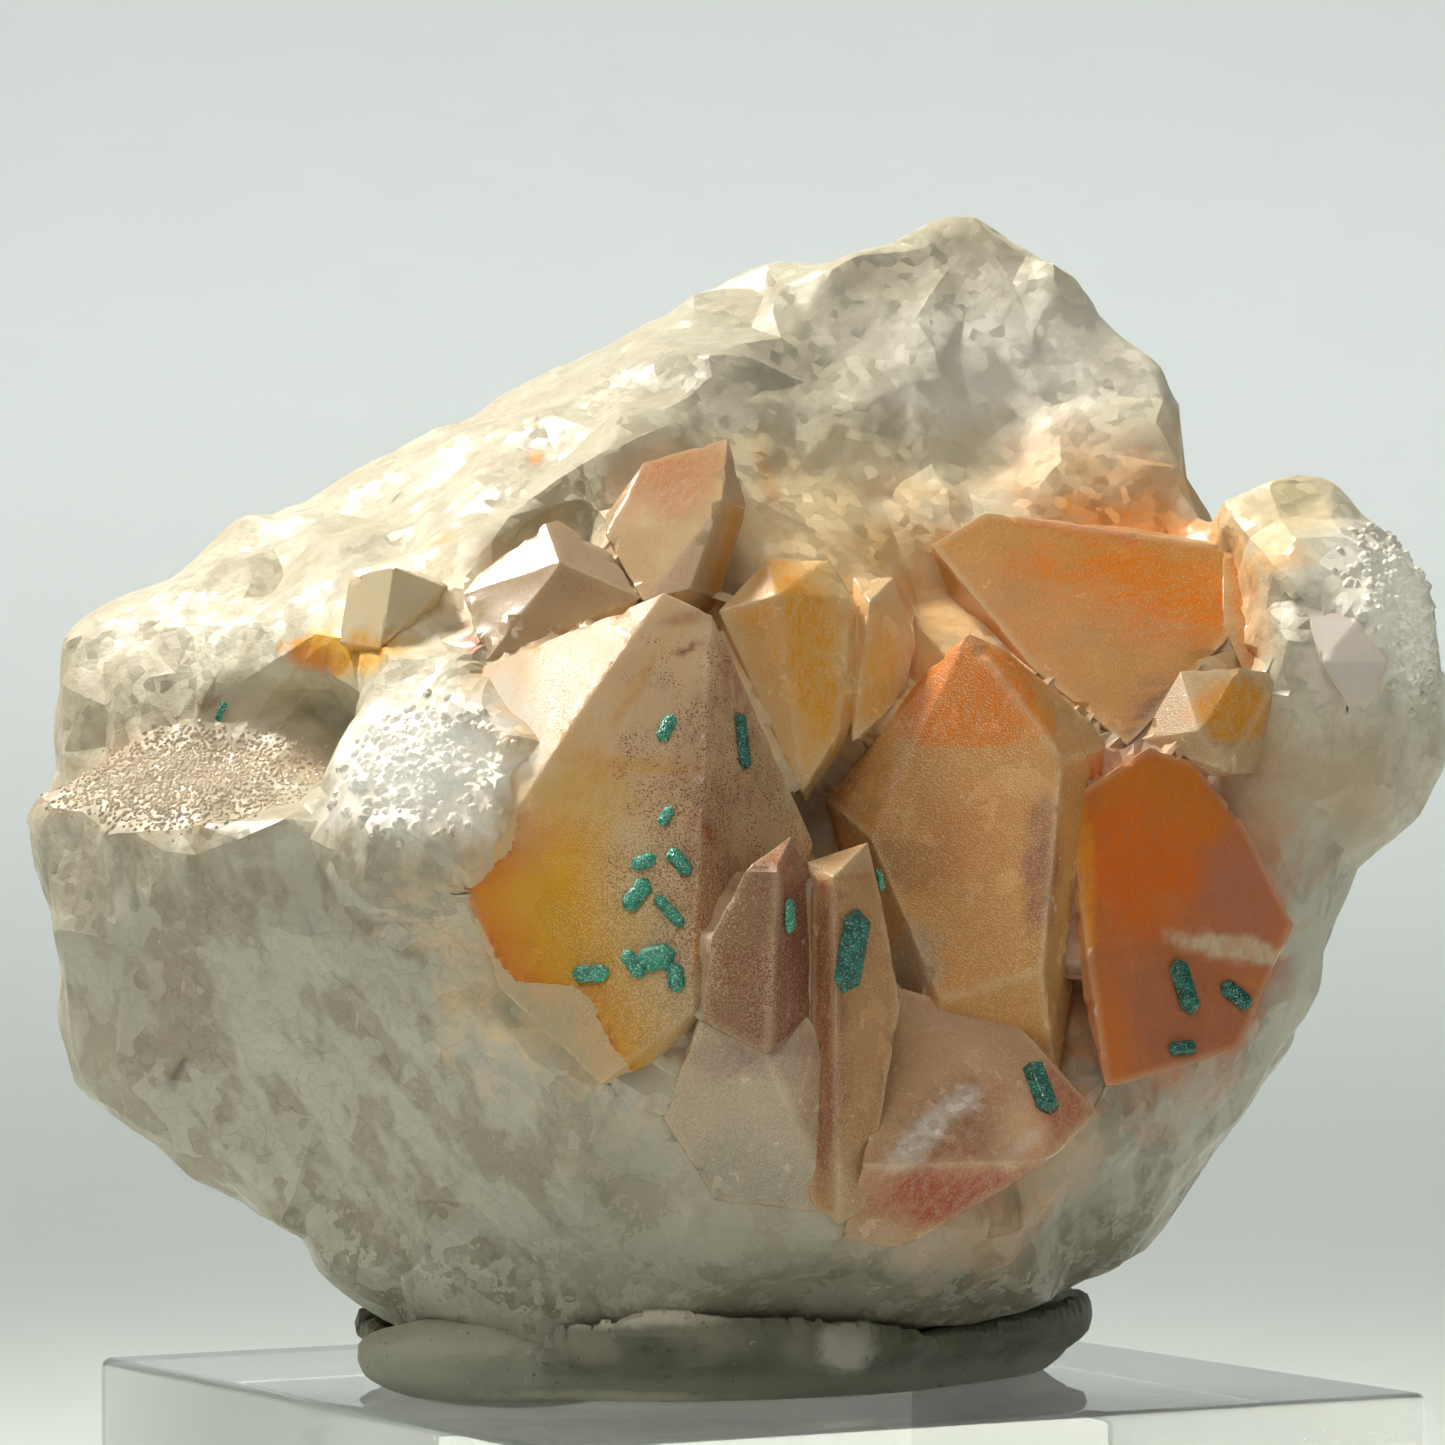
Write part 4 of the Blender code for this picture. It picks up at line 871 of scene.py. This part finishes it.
# Specks, grit and gold dust share one fine noise, the gold dust painted pale as sparkle highlights; the
# fields are where they lie
SPARK_SIZE = 0.062
SPECK_TONE = (0.28, 0.06, 0.03)
GRIT_TONE = (0.46, 0.28, 0.11)
GOLD_SPARKLE_TONE = (0.98, 0.80, 0.48)
SPECK_EDGE = ((-1.0, 18.0), (3.0, 6.0))
DUST_AND_SPARKLE_FIELD = ((-2.6, -13.0, 14.6), (3.0, 4.0, 3.6), 0)
PINK_SHINE = ((5.9, -12.0, 8.7), (1.0, 4.0, 2.8), 49)


def quartz_point(name):
    """The finish of one quartz point."""
    base, clear, dust, specked = LOOKS[name]
    glass = Finish("quartz_" + name, IOR=1.544, Transmission_Weight=clear, Specular_IOR_Level=0.35)
    lean, lows = STRIPES if name == "striped_point" else STREAKS
    streaks = lows + (1.0 - lows) * glass.streaks(lean, 0.22, 1.8).ramp(0.35, 0.62)
    veils = glass.noise(1.3, detail=3.0, offset=7.0).ramp(0.40, 0.75)
    paler = tuple(min(0.86, part * 1.35 + 0.04) for part in base)
    tone = stains_and_light_over(glass, glass.mix(veils * 0.35, base, paler), streaks)
    if name == "hero":
        tone = hero_stain(glass, tone)
    if name == "capped_point":
        cap = glass.patch(*CAP, soft=0.3) * (glass.z + glass.fine * 0.12).ramp(*CAP_RIM)
        tone = glass.mix(cap * streaks, tone, CAP_TONE)
    # The edges are paled: partly worn, frosted chips, partly a painted highlight along them.
    worn = glass.marked("edge").ramp(0.2, 1.0)
    tone = glass.mix(worn * 0.32, tone, WORN_AND_HIGHLIT_EDGE_TONE)
    sparks = glass.noise(SPARK_SIZE, detail=1.0, offset=11.0)
    field = glass.side_of(SPECK_EDGE) if name == "hero" else 0.1
    thick = (glass.rag + 0.4 * glass.fine + field).ramp(-0.25, 0.35)
    tone = glass.mix(sparks.ramp(0.45, 0.37) * thick * 0.9 * specked, tone, SPECK_TONE)
    dust_and_sparkle = glass.patch(*DUST_AND_SPARKLE_FIELD, soft=1.0)
    tone = glass.mix(sparks.ramp(0.53, 0.45) * dust_and_sparkle * 0.5, tone, GRIT_TONE)
    spread = dust_and_sparkle.most(dust)
    # Painted sparkle: pale gold spots stand in for the glitter of the dust.
    gold_sparkle = sparks.ramp(0.54, 0.61) * spread * (glass.fine * 0.5 + 0.65)
    glass.feed("Base Color", glass.mix(gold_sparkle * 0.7, tone, GOLD_SPARKLE_TONE))
    broken_side = glass.x.ramp(-5.8, -7.6) * 0.25 if name == "hero" else 0.0
    glass.feed("Roughness", 0.08 + 0.16 * veils + 0.15 * dust + broken_side)
    grit = sparks * spread * 0.045
    if name == "pink_point":
        grit = grit + glass.facets(0.30) * glass.patch(*PINK_SHINE, soft=0.9) * 0.30
    glass.feed("Normal", glass.relief(grit, 1.0, 0.8))
    return glass


point_planes = {}
for name in LOOKS:
    solid = hull(flat_corners(name))
    planes = [(face.normal.copy(), face.normal.dot(face.verts[0].co)) for face in solid.faces]
    point_planes[name] = planes
    rounded(solid, POINT_EDGE, 1)
    sliced(solid, POINT_NET)
    mesh = mesh_of(solid, name)
    crystal_skin(mesh, planes)
    paint(mesh, STAINS_AND_PAINTED_LIGHT.get(name, []))
    piece("quartz_" + name, mesh, quartz_point(name), "quartz", smooth=14)


# Massive quartz: milky vein quartz broken on most sides, so it has flat fracture steps,
# a rough white break beside the hero and an up-facing shelf crusted with sandy grains.
# It stands in the putty, and all the points grew out of it.
MASSIVE_NET = 0.40
MASSIVE_BREAKS = 5200
# Rough or crusted regions: centre and reach
WHITE_BREAK = ((-10.0, -10.5, 19.7), (3.4, 3.6, 2.8))
SANDY_SHELF = ((-18.0, -4.0, 19.4), (5.6, 6.0, 2.4))
GLITTER_KNOB = ((21.2, -1.0, 25.0), (2.8, 4.5, 3.4))
# The stone bulges out under the white break
BREAK_BULGE = ((-10.3, -11.0, 17.9), (3.6, 3.4, 2.8))
BULGE_RISE = 1.1
# The ridge swells more than the rest: where it starts, and over how much height
RIDGE_FOOT = 16.0
RIDGE_FADE = 5.0
# Waves per millimetre, height, and how much more of it on the ridge and on rough places
SWELLS = ((0.33, 0.40, 0.10, 0.0), (0.9, 0.08, 0.04, 0.20), (2.6, 0.015, 0.0, 0.16))
# Size and tilt of the chips in the white break, on rough places and all over
BREAK_CHIPS = (1.4, 0.55)
ROUGH_CHIPS = (0.7, 0.24)
CALM_CHIPS = (1.7, 0.20)
# How far under the points' faces the stone is pressed, and how far beside them that fades out
FIRST_PRESS = (0.50, 0.90)
LAST_PRESS = (0.30, 0.30)


def roughness_at(point):
    """1 where the quartz broke rough or is crusted, 0 on its calm planes."""
    crust = max(bell(point, *SANDY_SHELF), bell(point, *GLITTER_KNOB))
    return max(bell(point, *WHITE_BREAK), 0.7 * crust)


def swell_height(point, way):
    """Broad swells, before the stone is struck."""
    ridge = min(1.0, max(0.0, (point.z - BLOCK_TOP - RIDGE_FOOT) / RIDGE_FADE))
    rough = roughness_at(point)
    height = BULGE_RISE * bell(point, *BREAK_BULGE)
    for waves, calm, on_ridge, on_rough in SWELLS:
        height += noise.noise(point * waves) * (calm + on_ridge * ridge + on_rough * rough)
    return height


def struck(mesh, faces, name):
    """Strike flat breaks: the same form in few flat faces, each then split fine again."""
    body = stand(name, mesh)
    strike = body.modifiers.new("strike", "DECIMATE")
    strike.ratio = faces / (2 * len(mesh.polygons))
    split = body.modifiers.new("split", "SUBSURF")
    split.subdivision_type = "SIMPLE"
    split.levels = 2
    split.render_levels = 2
    return evaluated(body)


def crumb_height(point, way):
    """Small chips over the struck faces, deepest in the white break."""
    rough = roughness_at(point)
    sharp = bell(point, *WHITE_BREAK)
    height = chips(point, *BREAK_CHIPS) * sharp + chips(point, *ROUGH_CHIPS) * rough
    height += chips(point, *CALM_CHIPS)
    return height + noise.noise(point * 4.0) * (0.012 + 0.09 * rough)


massive_mesh = remeshed(cad_copy("quartz"), MASSIVE_NET, "massive")
move_out(massive_mesh, swell_height)
massive_mesh = struck(massive_mesh, MASSIVE_BREAKS, "massive")
move_out(massive_mesh, crumb_height)


def bury(mesh, drop, fade):
    """Keep the stone drop millimetres under every point's faces, less and less beside them."""
    places = places_of(mesh)
    for planes in point_planes.values():
        normals, depths = over_planes(places, planes)
        second, depth = np.sort(depths, axis=1)[:, -2:].T
        beside = np.clip((fade - depth) / fade, 0.0, 1.0) ** 2
        # Full right over one face, 0.3 mm or more behind the next and less than 0.6 mm high
        within = np.clip((-second - 0.1) / 0.2, 0.0, 1.0) * np.clip((0.9 - depth) / 0.3, 0.0, 1.0)
        amount = np.clip(depth + drop, 0.0, None) * np.maximum(beside, within)
        places -= normals[depths.argmax(axis=1)] * amount[:, None]
    mesh.vertices.foreach_set("co", places.ravel())


def softened(mesh):
    """Rub the edges between the breaks a little round."""
    shape = bmesh.new()
    shape.from_mesh(mesh)
    bmesh.ops.smooth_vert(shape, verts=shape.verts, factor=0.5,
                          use_axis_x=True, use_axis_y=True, use_axis_z=True)
    shape.to_mesh(mesh)
    shape.free()


bury(massive_mesh, *FIRST_PRESS)
softened(massive_mesh)
bury(massive_mesh, *LAST_PRESS)

# Each point's own colour goes on into the stone round it, under the list's stains and its patches of painted
# light and shade
POINT_REACH = 0.56
point_stains = []
for name, (base, *_) in LOOKS.items():
    corners = np.array(list(POINTS[name].values()))
    reach = POINT_REACH * (corners.max(axis=0) - corners.min(axis=0))
    point_stains.append((corners.mean(axis=0), reach, 0, base, 0.7, 0.5))
# Centre, reach, lean, colour, strength and softness, as in the points' list
MASSIVE_STAINS_AND_PAINTED_LIGHT = [
    # Pale ridge-face patch: partly the ridge's cream tone, partly painted light on a face that lies in
    # shade.
    ((8.4, 4.0, 30.3), (5.4, 6.0, 2.3), -14, (0.86, 0.74, 0.50), 0.85, 1.0),
    # Darker middle-ridge patch: partly the ridge's tan-grey ground, partly painted shade against the window
    # lamp's glare.
    ((1.0, 4.0, 33.4), (7.5, 8.0, 3.4), 0, (0.44, 0.41, 0.31), 0.8, 1.2),
    # Painted light: a white patch brightening the ridge face, which lies in shade.
    ((9.5, 3.0, 33.4), (4.5, 7.0, 2.6), 0, (0.90, 0.88, 0.78), 0.8, 1.0),
    ((2.0, -1.0, 28.0), (3.6, 5.0, 2.8), 0, (0.95, 0.76, 0.44), 0.9, 1.0),
    ((5.6, -2.0, 25.4), (3.0, 4.0, 3.4), 0, (0.78, 0.47, 0.17), 0.85, 1.0),
    ((12.4, 4.0, 28.8), (3.4, 5.0, 1.7), 10, (0.82, 0.40, 0.14), 0.7, 1.2),
    ((13.4, 1.5, 27.7), (3.2, 4.0, 0.7), 12, (0.84, 0.28, 0.02), 0.9, 0.9),
    ((0.7, -2.0, 29.4), (0.35, 3.0, 1.1), -12, (0.80, 0.28, 0.03), 0.85, 0.7),
    ((-12.6, -4.6, 23.5), (2.3, 3.0, 0.75), 4, YELLOW, 1.0, 0.30),
    ((-13.9, -4.6, 23.3), (1.0, 2.5, 0.45), 10, (0.84, 0.27, 0.005), 0.9, 0.6),
    ((-9.7, 0.0, 27.1), (0.65, 2.0, 0.35), 0, (0.88, 0.36, 0.02), 0.95, 0.5),
    ((-6.9, 2.0, 29.9), (0.30, 2.0, 0.30), 0, (0.86, 0.36, 0.05), 0.9, 0.5),
    ((-8.6, -7.2, 23.6), (0.30, 1.5, 0.65), 10, (0.50, 0.09, 0.04), 0.8, 0.6),
    ((-18.2, -4.5, 19.6), (5.0, 6.0, 2.0), 0, (0.52, 0.40, 0.26), 0.9, 0.7),
    ((21.0, -1.0, 25.0), (3.2, 5.0, 3.6), 0, (0.90, 0.89, 0.80), 1.0, 0.8),
    # Painted light: a paler patch brightening the lower front, which faces down into shade.
    ((0.8, -12.5, 6.0), (5.0, 5.0, 2.8), 0, (0.66, 0.62, 0.48), 0.5, 1.2),
    ((-17.8, -5.0, 10.6), (0.11, 2.0, 0.95), 38, (0.08, 0.05, 0.04), 0.85, 0.6),
    ((-17.6, -5.0, 14.0), (1.0, 2.0, 2.8), 15, (0.46, 0.32, 0.26), 0.5, 1.0),
    ((18.9, -1.0, 19.4), (3.2, 4.0, 2.2), 0, (0.50, 0.36, 0.22), 0.8, 0.9),
    ((17.4, 1.0, 27.9), (1.8, 3.0, 1.7), 0, (0.80, 0.66, 0.38), 0.8, 0.8),
    ((17.1, 0.5, 26.4), (1.0, 3.0, 0.9), 0, (0.84, 0.40, 0.06), 0.7, 0.9),
    ((15.3, -4.0, 19.9), (1.6, 3.0, 0.8), 0, (0.50, 0.22, 0.12), 0.7, 0.9),
    ((16.6, -3.0, 12.8), (1.0, 2.0, 0.8), 20, (0.50, 0.16, 0.09), 0.6, 0.9),
    ((-9.9, -10.0, 19.8), (3.4, 4.0, 2.4), 0, (0.96, 0.95, 0.88), 1.0, 0.6),
    # Painted shade: a dark streak in the hollow below the striped point's lower edge.
    ((13.4, -2.0, 21.6), (0.9, 5.0, 2.0), 58, (0.22, 0.11, 0.06), 0.9, 0.9),
    ((2.8, -6.0, 19.0), (1.2, 5.0, 2.0), 40, (0.22, 0.12, 0.07), 0.85, 0.9),
    ((8.6, -6.0, 13.2), (2.4, 4.0, 1.0), 0, (0.30, 0.15, 0.08), 0.8, 0.9),
    ((-17.6, -1.0, 21.8), (0.35, 1.5, 0.75), 60, (0.20, 0.15, 0.08), 0.75, 0.7),
    # Painted shade: a dark strip in the crevice beside the orange point's left edge.
    ((9.8, -7.0, 14.8), (0.6, 5.0, 3.4), 0, (0.24, 0.10, 0.08), 0.9, 0.7),
]
paint(massive_mesh, point_stains + MASSIVE_STAINS_AND_PAINTED_LIGHT)
mark(massive_mesh, "broken", [roughness_at(vertex.co) for vertex in massive_mesh.vertices])

# A faint painted glow on the sugary breaks, standing in for the light that they pass on from inside
BREAK_GLOW = 0.16
milk = Finish("massive_quartz", IOR=1.54, Emission_Strength=BREAK_GLOW)
clouds = milk.noise(2.6, detail=3.0, roughness=0.6)
white = clouds.ramp(0.42, 0.60)
height = milk.z + milk.rag * 2.0
veil = milk.streaks(-28, 2.4, 4.5).ramp(0.47, 0.57)
flecks = milk.streaks(35, 0.5, 1.6).ramp(0.50, 0.66)
flecks = flecks.most(milk.fine.ramp(0.15, 0.60) * 0.7)
broad = milk.shards(2.0).ramp(0.62, 0.80)
small = milk.shards(0.5, 5.0).ramp(0.66, 0.92)
bits = (broad * 0.7).most(small).most(flecks * 0.6)
# The stone is painted darker towards its foot: partly greyer, clearer quartz low down, partly painted shade
# on the lower front.
foot = milk.mix(veil, (0.26, 0.23, 0.165), (0.33, 0.30, 0.22))
foot = milk.mix(bits, foot, (0.47, 0.46, 0.37))
chalky = veil.most(broad * 0.8).most(small * 0.4) * 0.9
wall = milk.mix(chalky, (0.37, 0.33, 0.24), (0.54, 0.52, 0.42))
high = milk.mix(white, (0.52, 0.47, 0.34), (0.68, 0.64, 0.50))
high = milk.mix(small * 0.30, high, (0.42, 0.38, 0.28))
tone = milk.mix(height.ramp(2.0, 9.0), foot, wall)
tone = milk.mix(height.ramp(15.5, 20.5), tone, high)
milk.feed("Base Color", stains_and_light_over(milk, tone, 0.86 + 0.14 * flecks))
milk.feed("Roughness", 0.34 + 0.24 * clouds.ramp(0.6, 0.35))
rough = milk.marked("broken")
milk.feed("Emission Color", milk.mix(rough.ramp(0.1, 0.9), (0.0, 0.0, 0.0), (1.0, 0.97, 0.88)))
breaks = milk.facets(0.42, 3.0) * (0.11 + rough * 0.06)
milk.feed("Normal", milk.relief(breaks + milk.fine * 0.02, 1.0))
druse_host = massive_mesh.copy()
piece("massive_quartz", massive_mesh, milk, "quartz", smooth=15)


# Druse: small six-sided quartz grains grown side by side over the sandy shelf, the white
# break and the glittering knob, their feet in the stone and their finish the stone's own.
def scatter_tree():
    """A Geometry Nodes tree that sows turned and scaled grains over a host's faces."""
    tree = bpy.data.node_groups.new("sow_grains", "GeometryNodeTree")
    face = tree.interface
    face.new_socket("Geometry", in_out="OUTPUT", socket_type="NodeSocketGeometry")
    face.new_socket("Geometry", in_out="INPUT", socket_type="NodeSocketGeometry")
    for name, kind in (("Grain", "Object"), ("Density", "Float"), ("Smallest", "Float"),
                       ("Largest", "Float"), ("Tilt", "Float"), ("Seed", "Int"), ("Finish", "Material")):
        face.new_socket(name, in_out="INPUT", socket_type="NodeSocket" + kind)
    group = tree.nodes.new("NodeGroupInput")
    given = {socket.name: Wire(tree, socket) for socket in group.outputs}

    def step(kind, settings=None, inputs=None, output=0):
        made = new_node(tree, kind, settings, inputs)
        return Wire(tree, made.outputs[output])

    def random(kind, low, high):
        made = new_node(tree, "FunctionNodeRandomValue", {"data_type": kind}, {
            "Min": low, "Max": high, "Seed": given["Seed"]})
        return Wire(tree, next(socket for socket in made.outputs if socket.enabled))

    share = step("GeometryNodeInputNamedAttribute", {"data_type": "FLOAT"}, {"Name": "sow"}, "Attribute")
    spots = new_node(tree, "GeometryNodeDistributePointsOnFaces", inputs={
        "Mesh": given["Geometry"], "Density": share * given["Density"], "Seed": given["Seed"]})
    size = random("FLOAT", given["Smallest"], given["Largest"])
    span = step("ShaderNodeVectorMath", {"operation": "SCALE"}, {0: (1.0, 1.0, 3.0), "Scale": given["Tilt"]})
    other = step("ShaderNodeVectorMath", {"operation": "SCALE"}, {0: span, "Scale": -1.0})
    turn = step("FunctionNodeEulerToRotation", inputs={0: random("FLOAT_VECTOR", other, span)})
    turn = step("FunctionNodeRotateRotation", {"rotation_space": "LOCAL"}, {
        0: Wire(tree, spots.outputs["Rotation"]), 1: turn})
    grain = step("GeometryNodeObjectInfo", inputs={"Object": given["Grain"]}, output="Geometry")
    placed = step("GeometryNodeInstanceOnPoints", inputs={
        "Points": Wire(tree, spots.outputs["Points"]), "Instance": grain, "Rotation": turn, "Scale": size})
    solid = step("GeometryNodeRealizeInstances", inputs={0: placed})
    dressed = step("GeometryNodeSetMaterial", inputs={"Geometry": solid, "Material": given["Finish"]})
    join(dressed, tree.nodes.new("NodeGroupOutput").inputs[0])
    return tree


sow_grains = scatter_tree()


def grain_shape(length):
    """A low six-sided grain one unit wide, its foot in the ground and its point off centre."""
    shape = bmesh.new()
    for height, radius in ((-0.25, 0.52), (length * 0.6, 0.26)):
        for corner in range(6):
            angle = math.radians(60 * corner + 14 * height)
            shape.verts.new((radius * math.cos(angle), radius * math.sin(angle), height))
    shape.verts.new((0.08, 0.05, length))
    bmesh.ops.convex_hull(shape, input=shape.verts)
    return stand("quartz_grain", mesh_of(shape, "quartz_grain"))


def sown(name, weights, density, sizes, tilt, seed):
    """Grains over the massive quartz, denser where weights are near 1, as one plain mesh piece."""
    host = druse_host.copy()
    mark(host, "sow", weights)
    body = stand(name, host)
    sowing = body.modifiers.new("sow", "NODES")
    sowing.node_group = sow_grains
    values = {"Grain": grain, "Density": density, "Smallest": sizes[0], "Largest": sizes[1],
              "Tilt": tilt, "Seed": seed, "Finish": milk.material}
    for item in sow_grains.interface.items_tree:
        if item.in_out == "INPUT" and item.name in values:
            sowing[item.identifier] = values[item.name]
    piece(name, evaluated(body), milk, "quartz", smooth=10)


grain = grain_shape(0.34)
spots = places_of(druse_host)
facing = np.array([vertex.normal for vertex in druse_host.vertices])
spots[:, 2] -= BLOCK_TOP


def region(centre, reach):
    """1 to 0 over an egg-shaped region, for every vertex of the massive quartz."""
    far = np.sqrt((((spots - np.array(centre)) / np.array(reach)) ** 2).sum(axis=1))
    return np.clip(1.6 - 1.6 * far, 0.0, 1.0)


right, _, up = facing.T
shelf = region(*SANDY_SHELF) * (up > 0.45)
knob = region(*GLITTER_KNOB) * ((up > 0.1) | (right > 0.4))
# Grains per square millimetre, their widths, tilt and seed
sown("shelf_grains", shelf, 60.0, (0.12, 0.27), 0.25, 4)
sown("break_grains", region(*WHITE_BREAK), 16.0, (0.22, 0.58), 0.30, 9)
sown("knob_grains", knob, 16.0, (0.20, 0.55), 0.5, 7)
bpy.data.objects.remove(grain)


# Dioptase: emerald green six-sided crystals grown flat on the quartz faces, most of them
# under 1.5 mm long, with a granular skin, its sparkle partly painted as pale dots; the bigger ones are
# darker and flatter.
CRYSTAL_NET = 0.06
LARGE_CRYSTALS = ("dioptase_tall_point", "dioptase_pink_point", "dioptase_orange_upright",
                  "dioptase_orange_slanted", "dioptase_orange_low", "dioptase_hero_side")
# Rounding of the edges and depth of the grainy skin on large and on small crystals
LARGE_SKIN = (0.03, 0.02)
SMALL_SKIN = (0.07, 0.06)
# Grains of the skin in each millimetre, and the level between their tops and their rims
SKIN_GRAINS = 12.0
SKIN_LEVEL = 0.3


def dioptase_finish(name, deep, bright, glitter):
    """Green with deeper patches, a granular bump and a share of pale dots painted on as the grains' glitter.
    """
    green = Finish(name, IOR=1.66, Roughness=0.16, Transmission_Weight=0.1)
    tint = green.mix(green.noise(0.30, detail=3.0).ramp(0.35, 0.65), deep, bright)
    grains = green.noise(0.05, detail=1.0, offset=4.0)
    tint = green.mix(grains.ramp(0.46, 0.38) * 0.6, tint, deep)
    # Painted sparkle: pale dots on the grains stand in for their glitter.
    green.feed("Base Color", green.mix(grains.ramp(0.58, 0.66) * glitter, tint, (0.50, 0.90, 0.76)))
    green.feed("Normal", green.relief(grains, 0.05, glitter))
    return green


frosted = dioptase_finish("frosted_dioptase", (0.004, 0.24, 0.14), (0.02, 0.46, 0.31), 1.0)
glassy = dioptase_finish("glassy_dioptase", (0.003, 0.07, 0.055), (0.015, 0.22, 0.16), 0.5)
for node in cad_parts:
    if not node.startswith("dioptase_"):
        continue
    large = node in LARGE_CRYSTALS
    rounding, skin = LARGE_SKIN if large else SMALL_SKIN
    crystal = cad_copy(node)
    merge_flat(crystal, 1.0)
    rounded(crystal, rounding, 2)
    sliced(crystal, CRYSTAL_NET)
    mesh = mesh_of(crystal, node)
    move_out(mesh, lambda point, way: (
        SKIN_LEVEL - noise.voronoi(point * SKIN_GRAINS)[0][0]) * skin)
    piece(node + "_crystal", mesh, glassy if large else frosted, node, smooth=35)
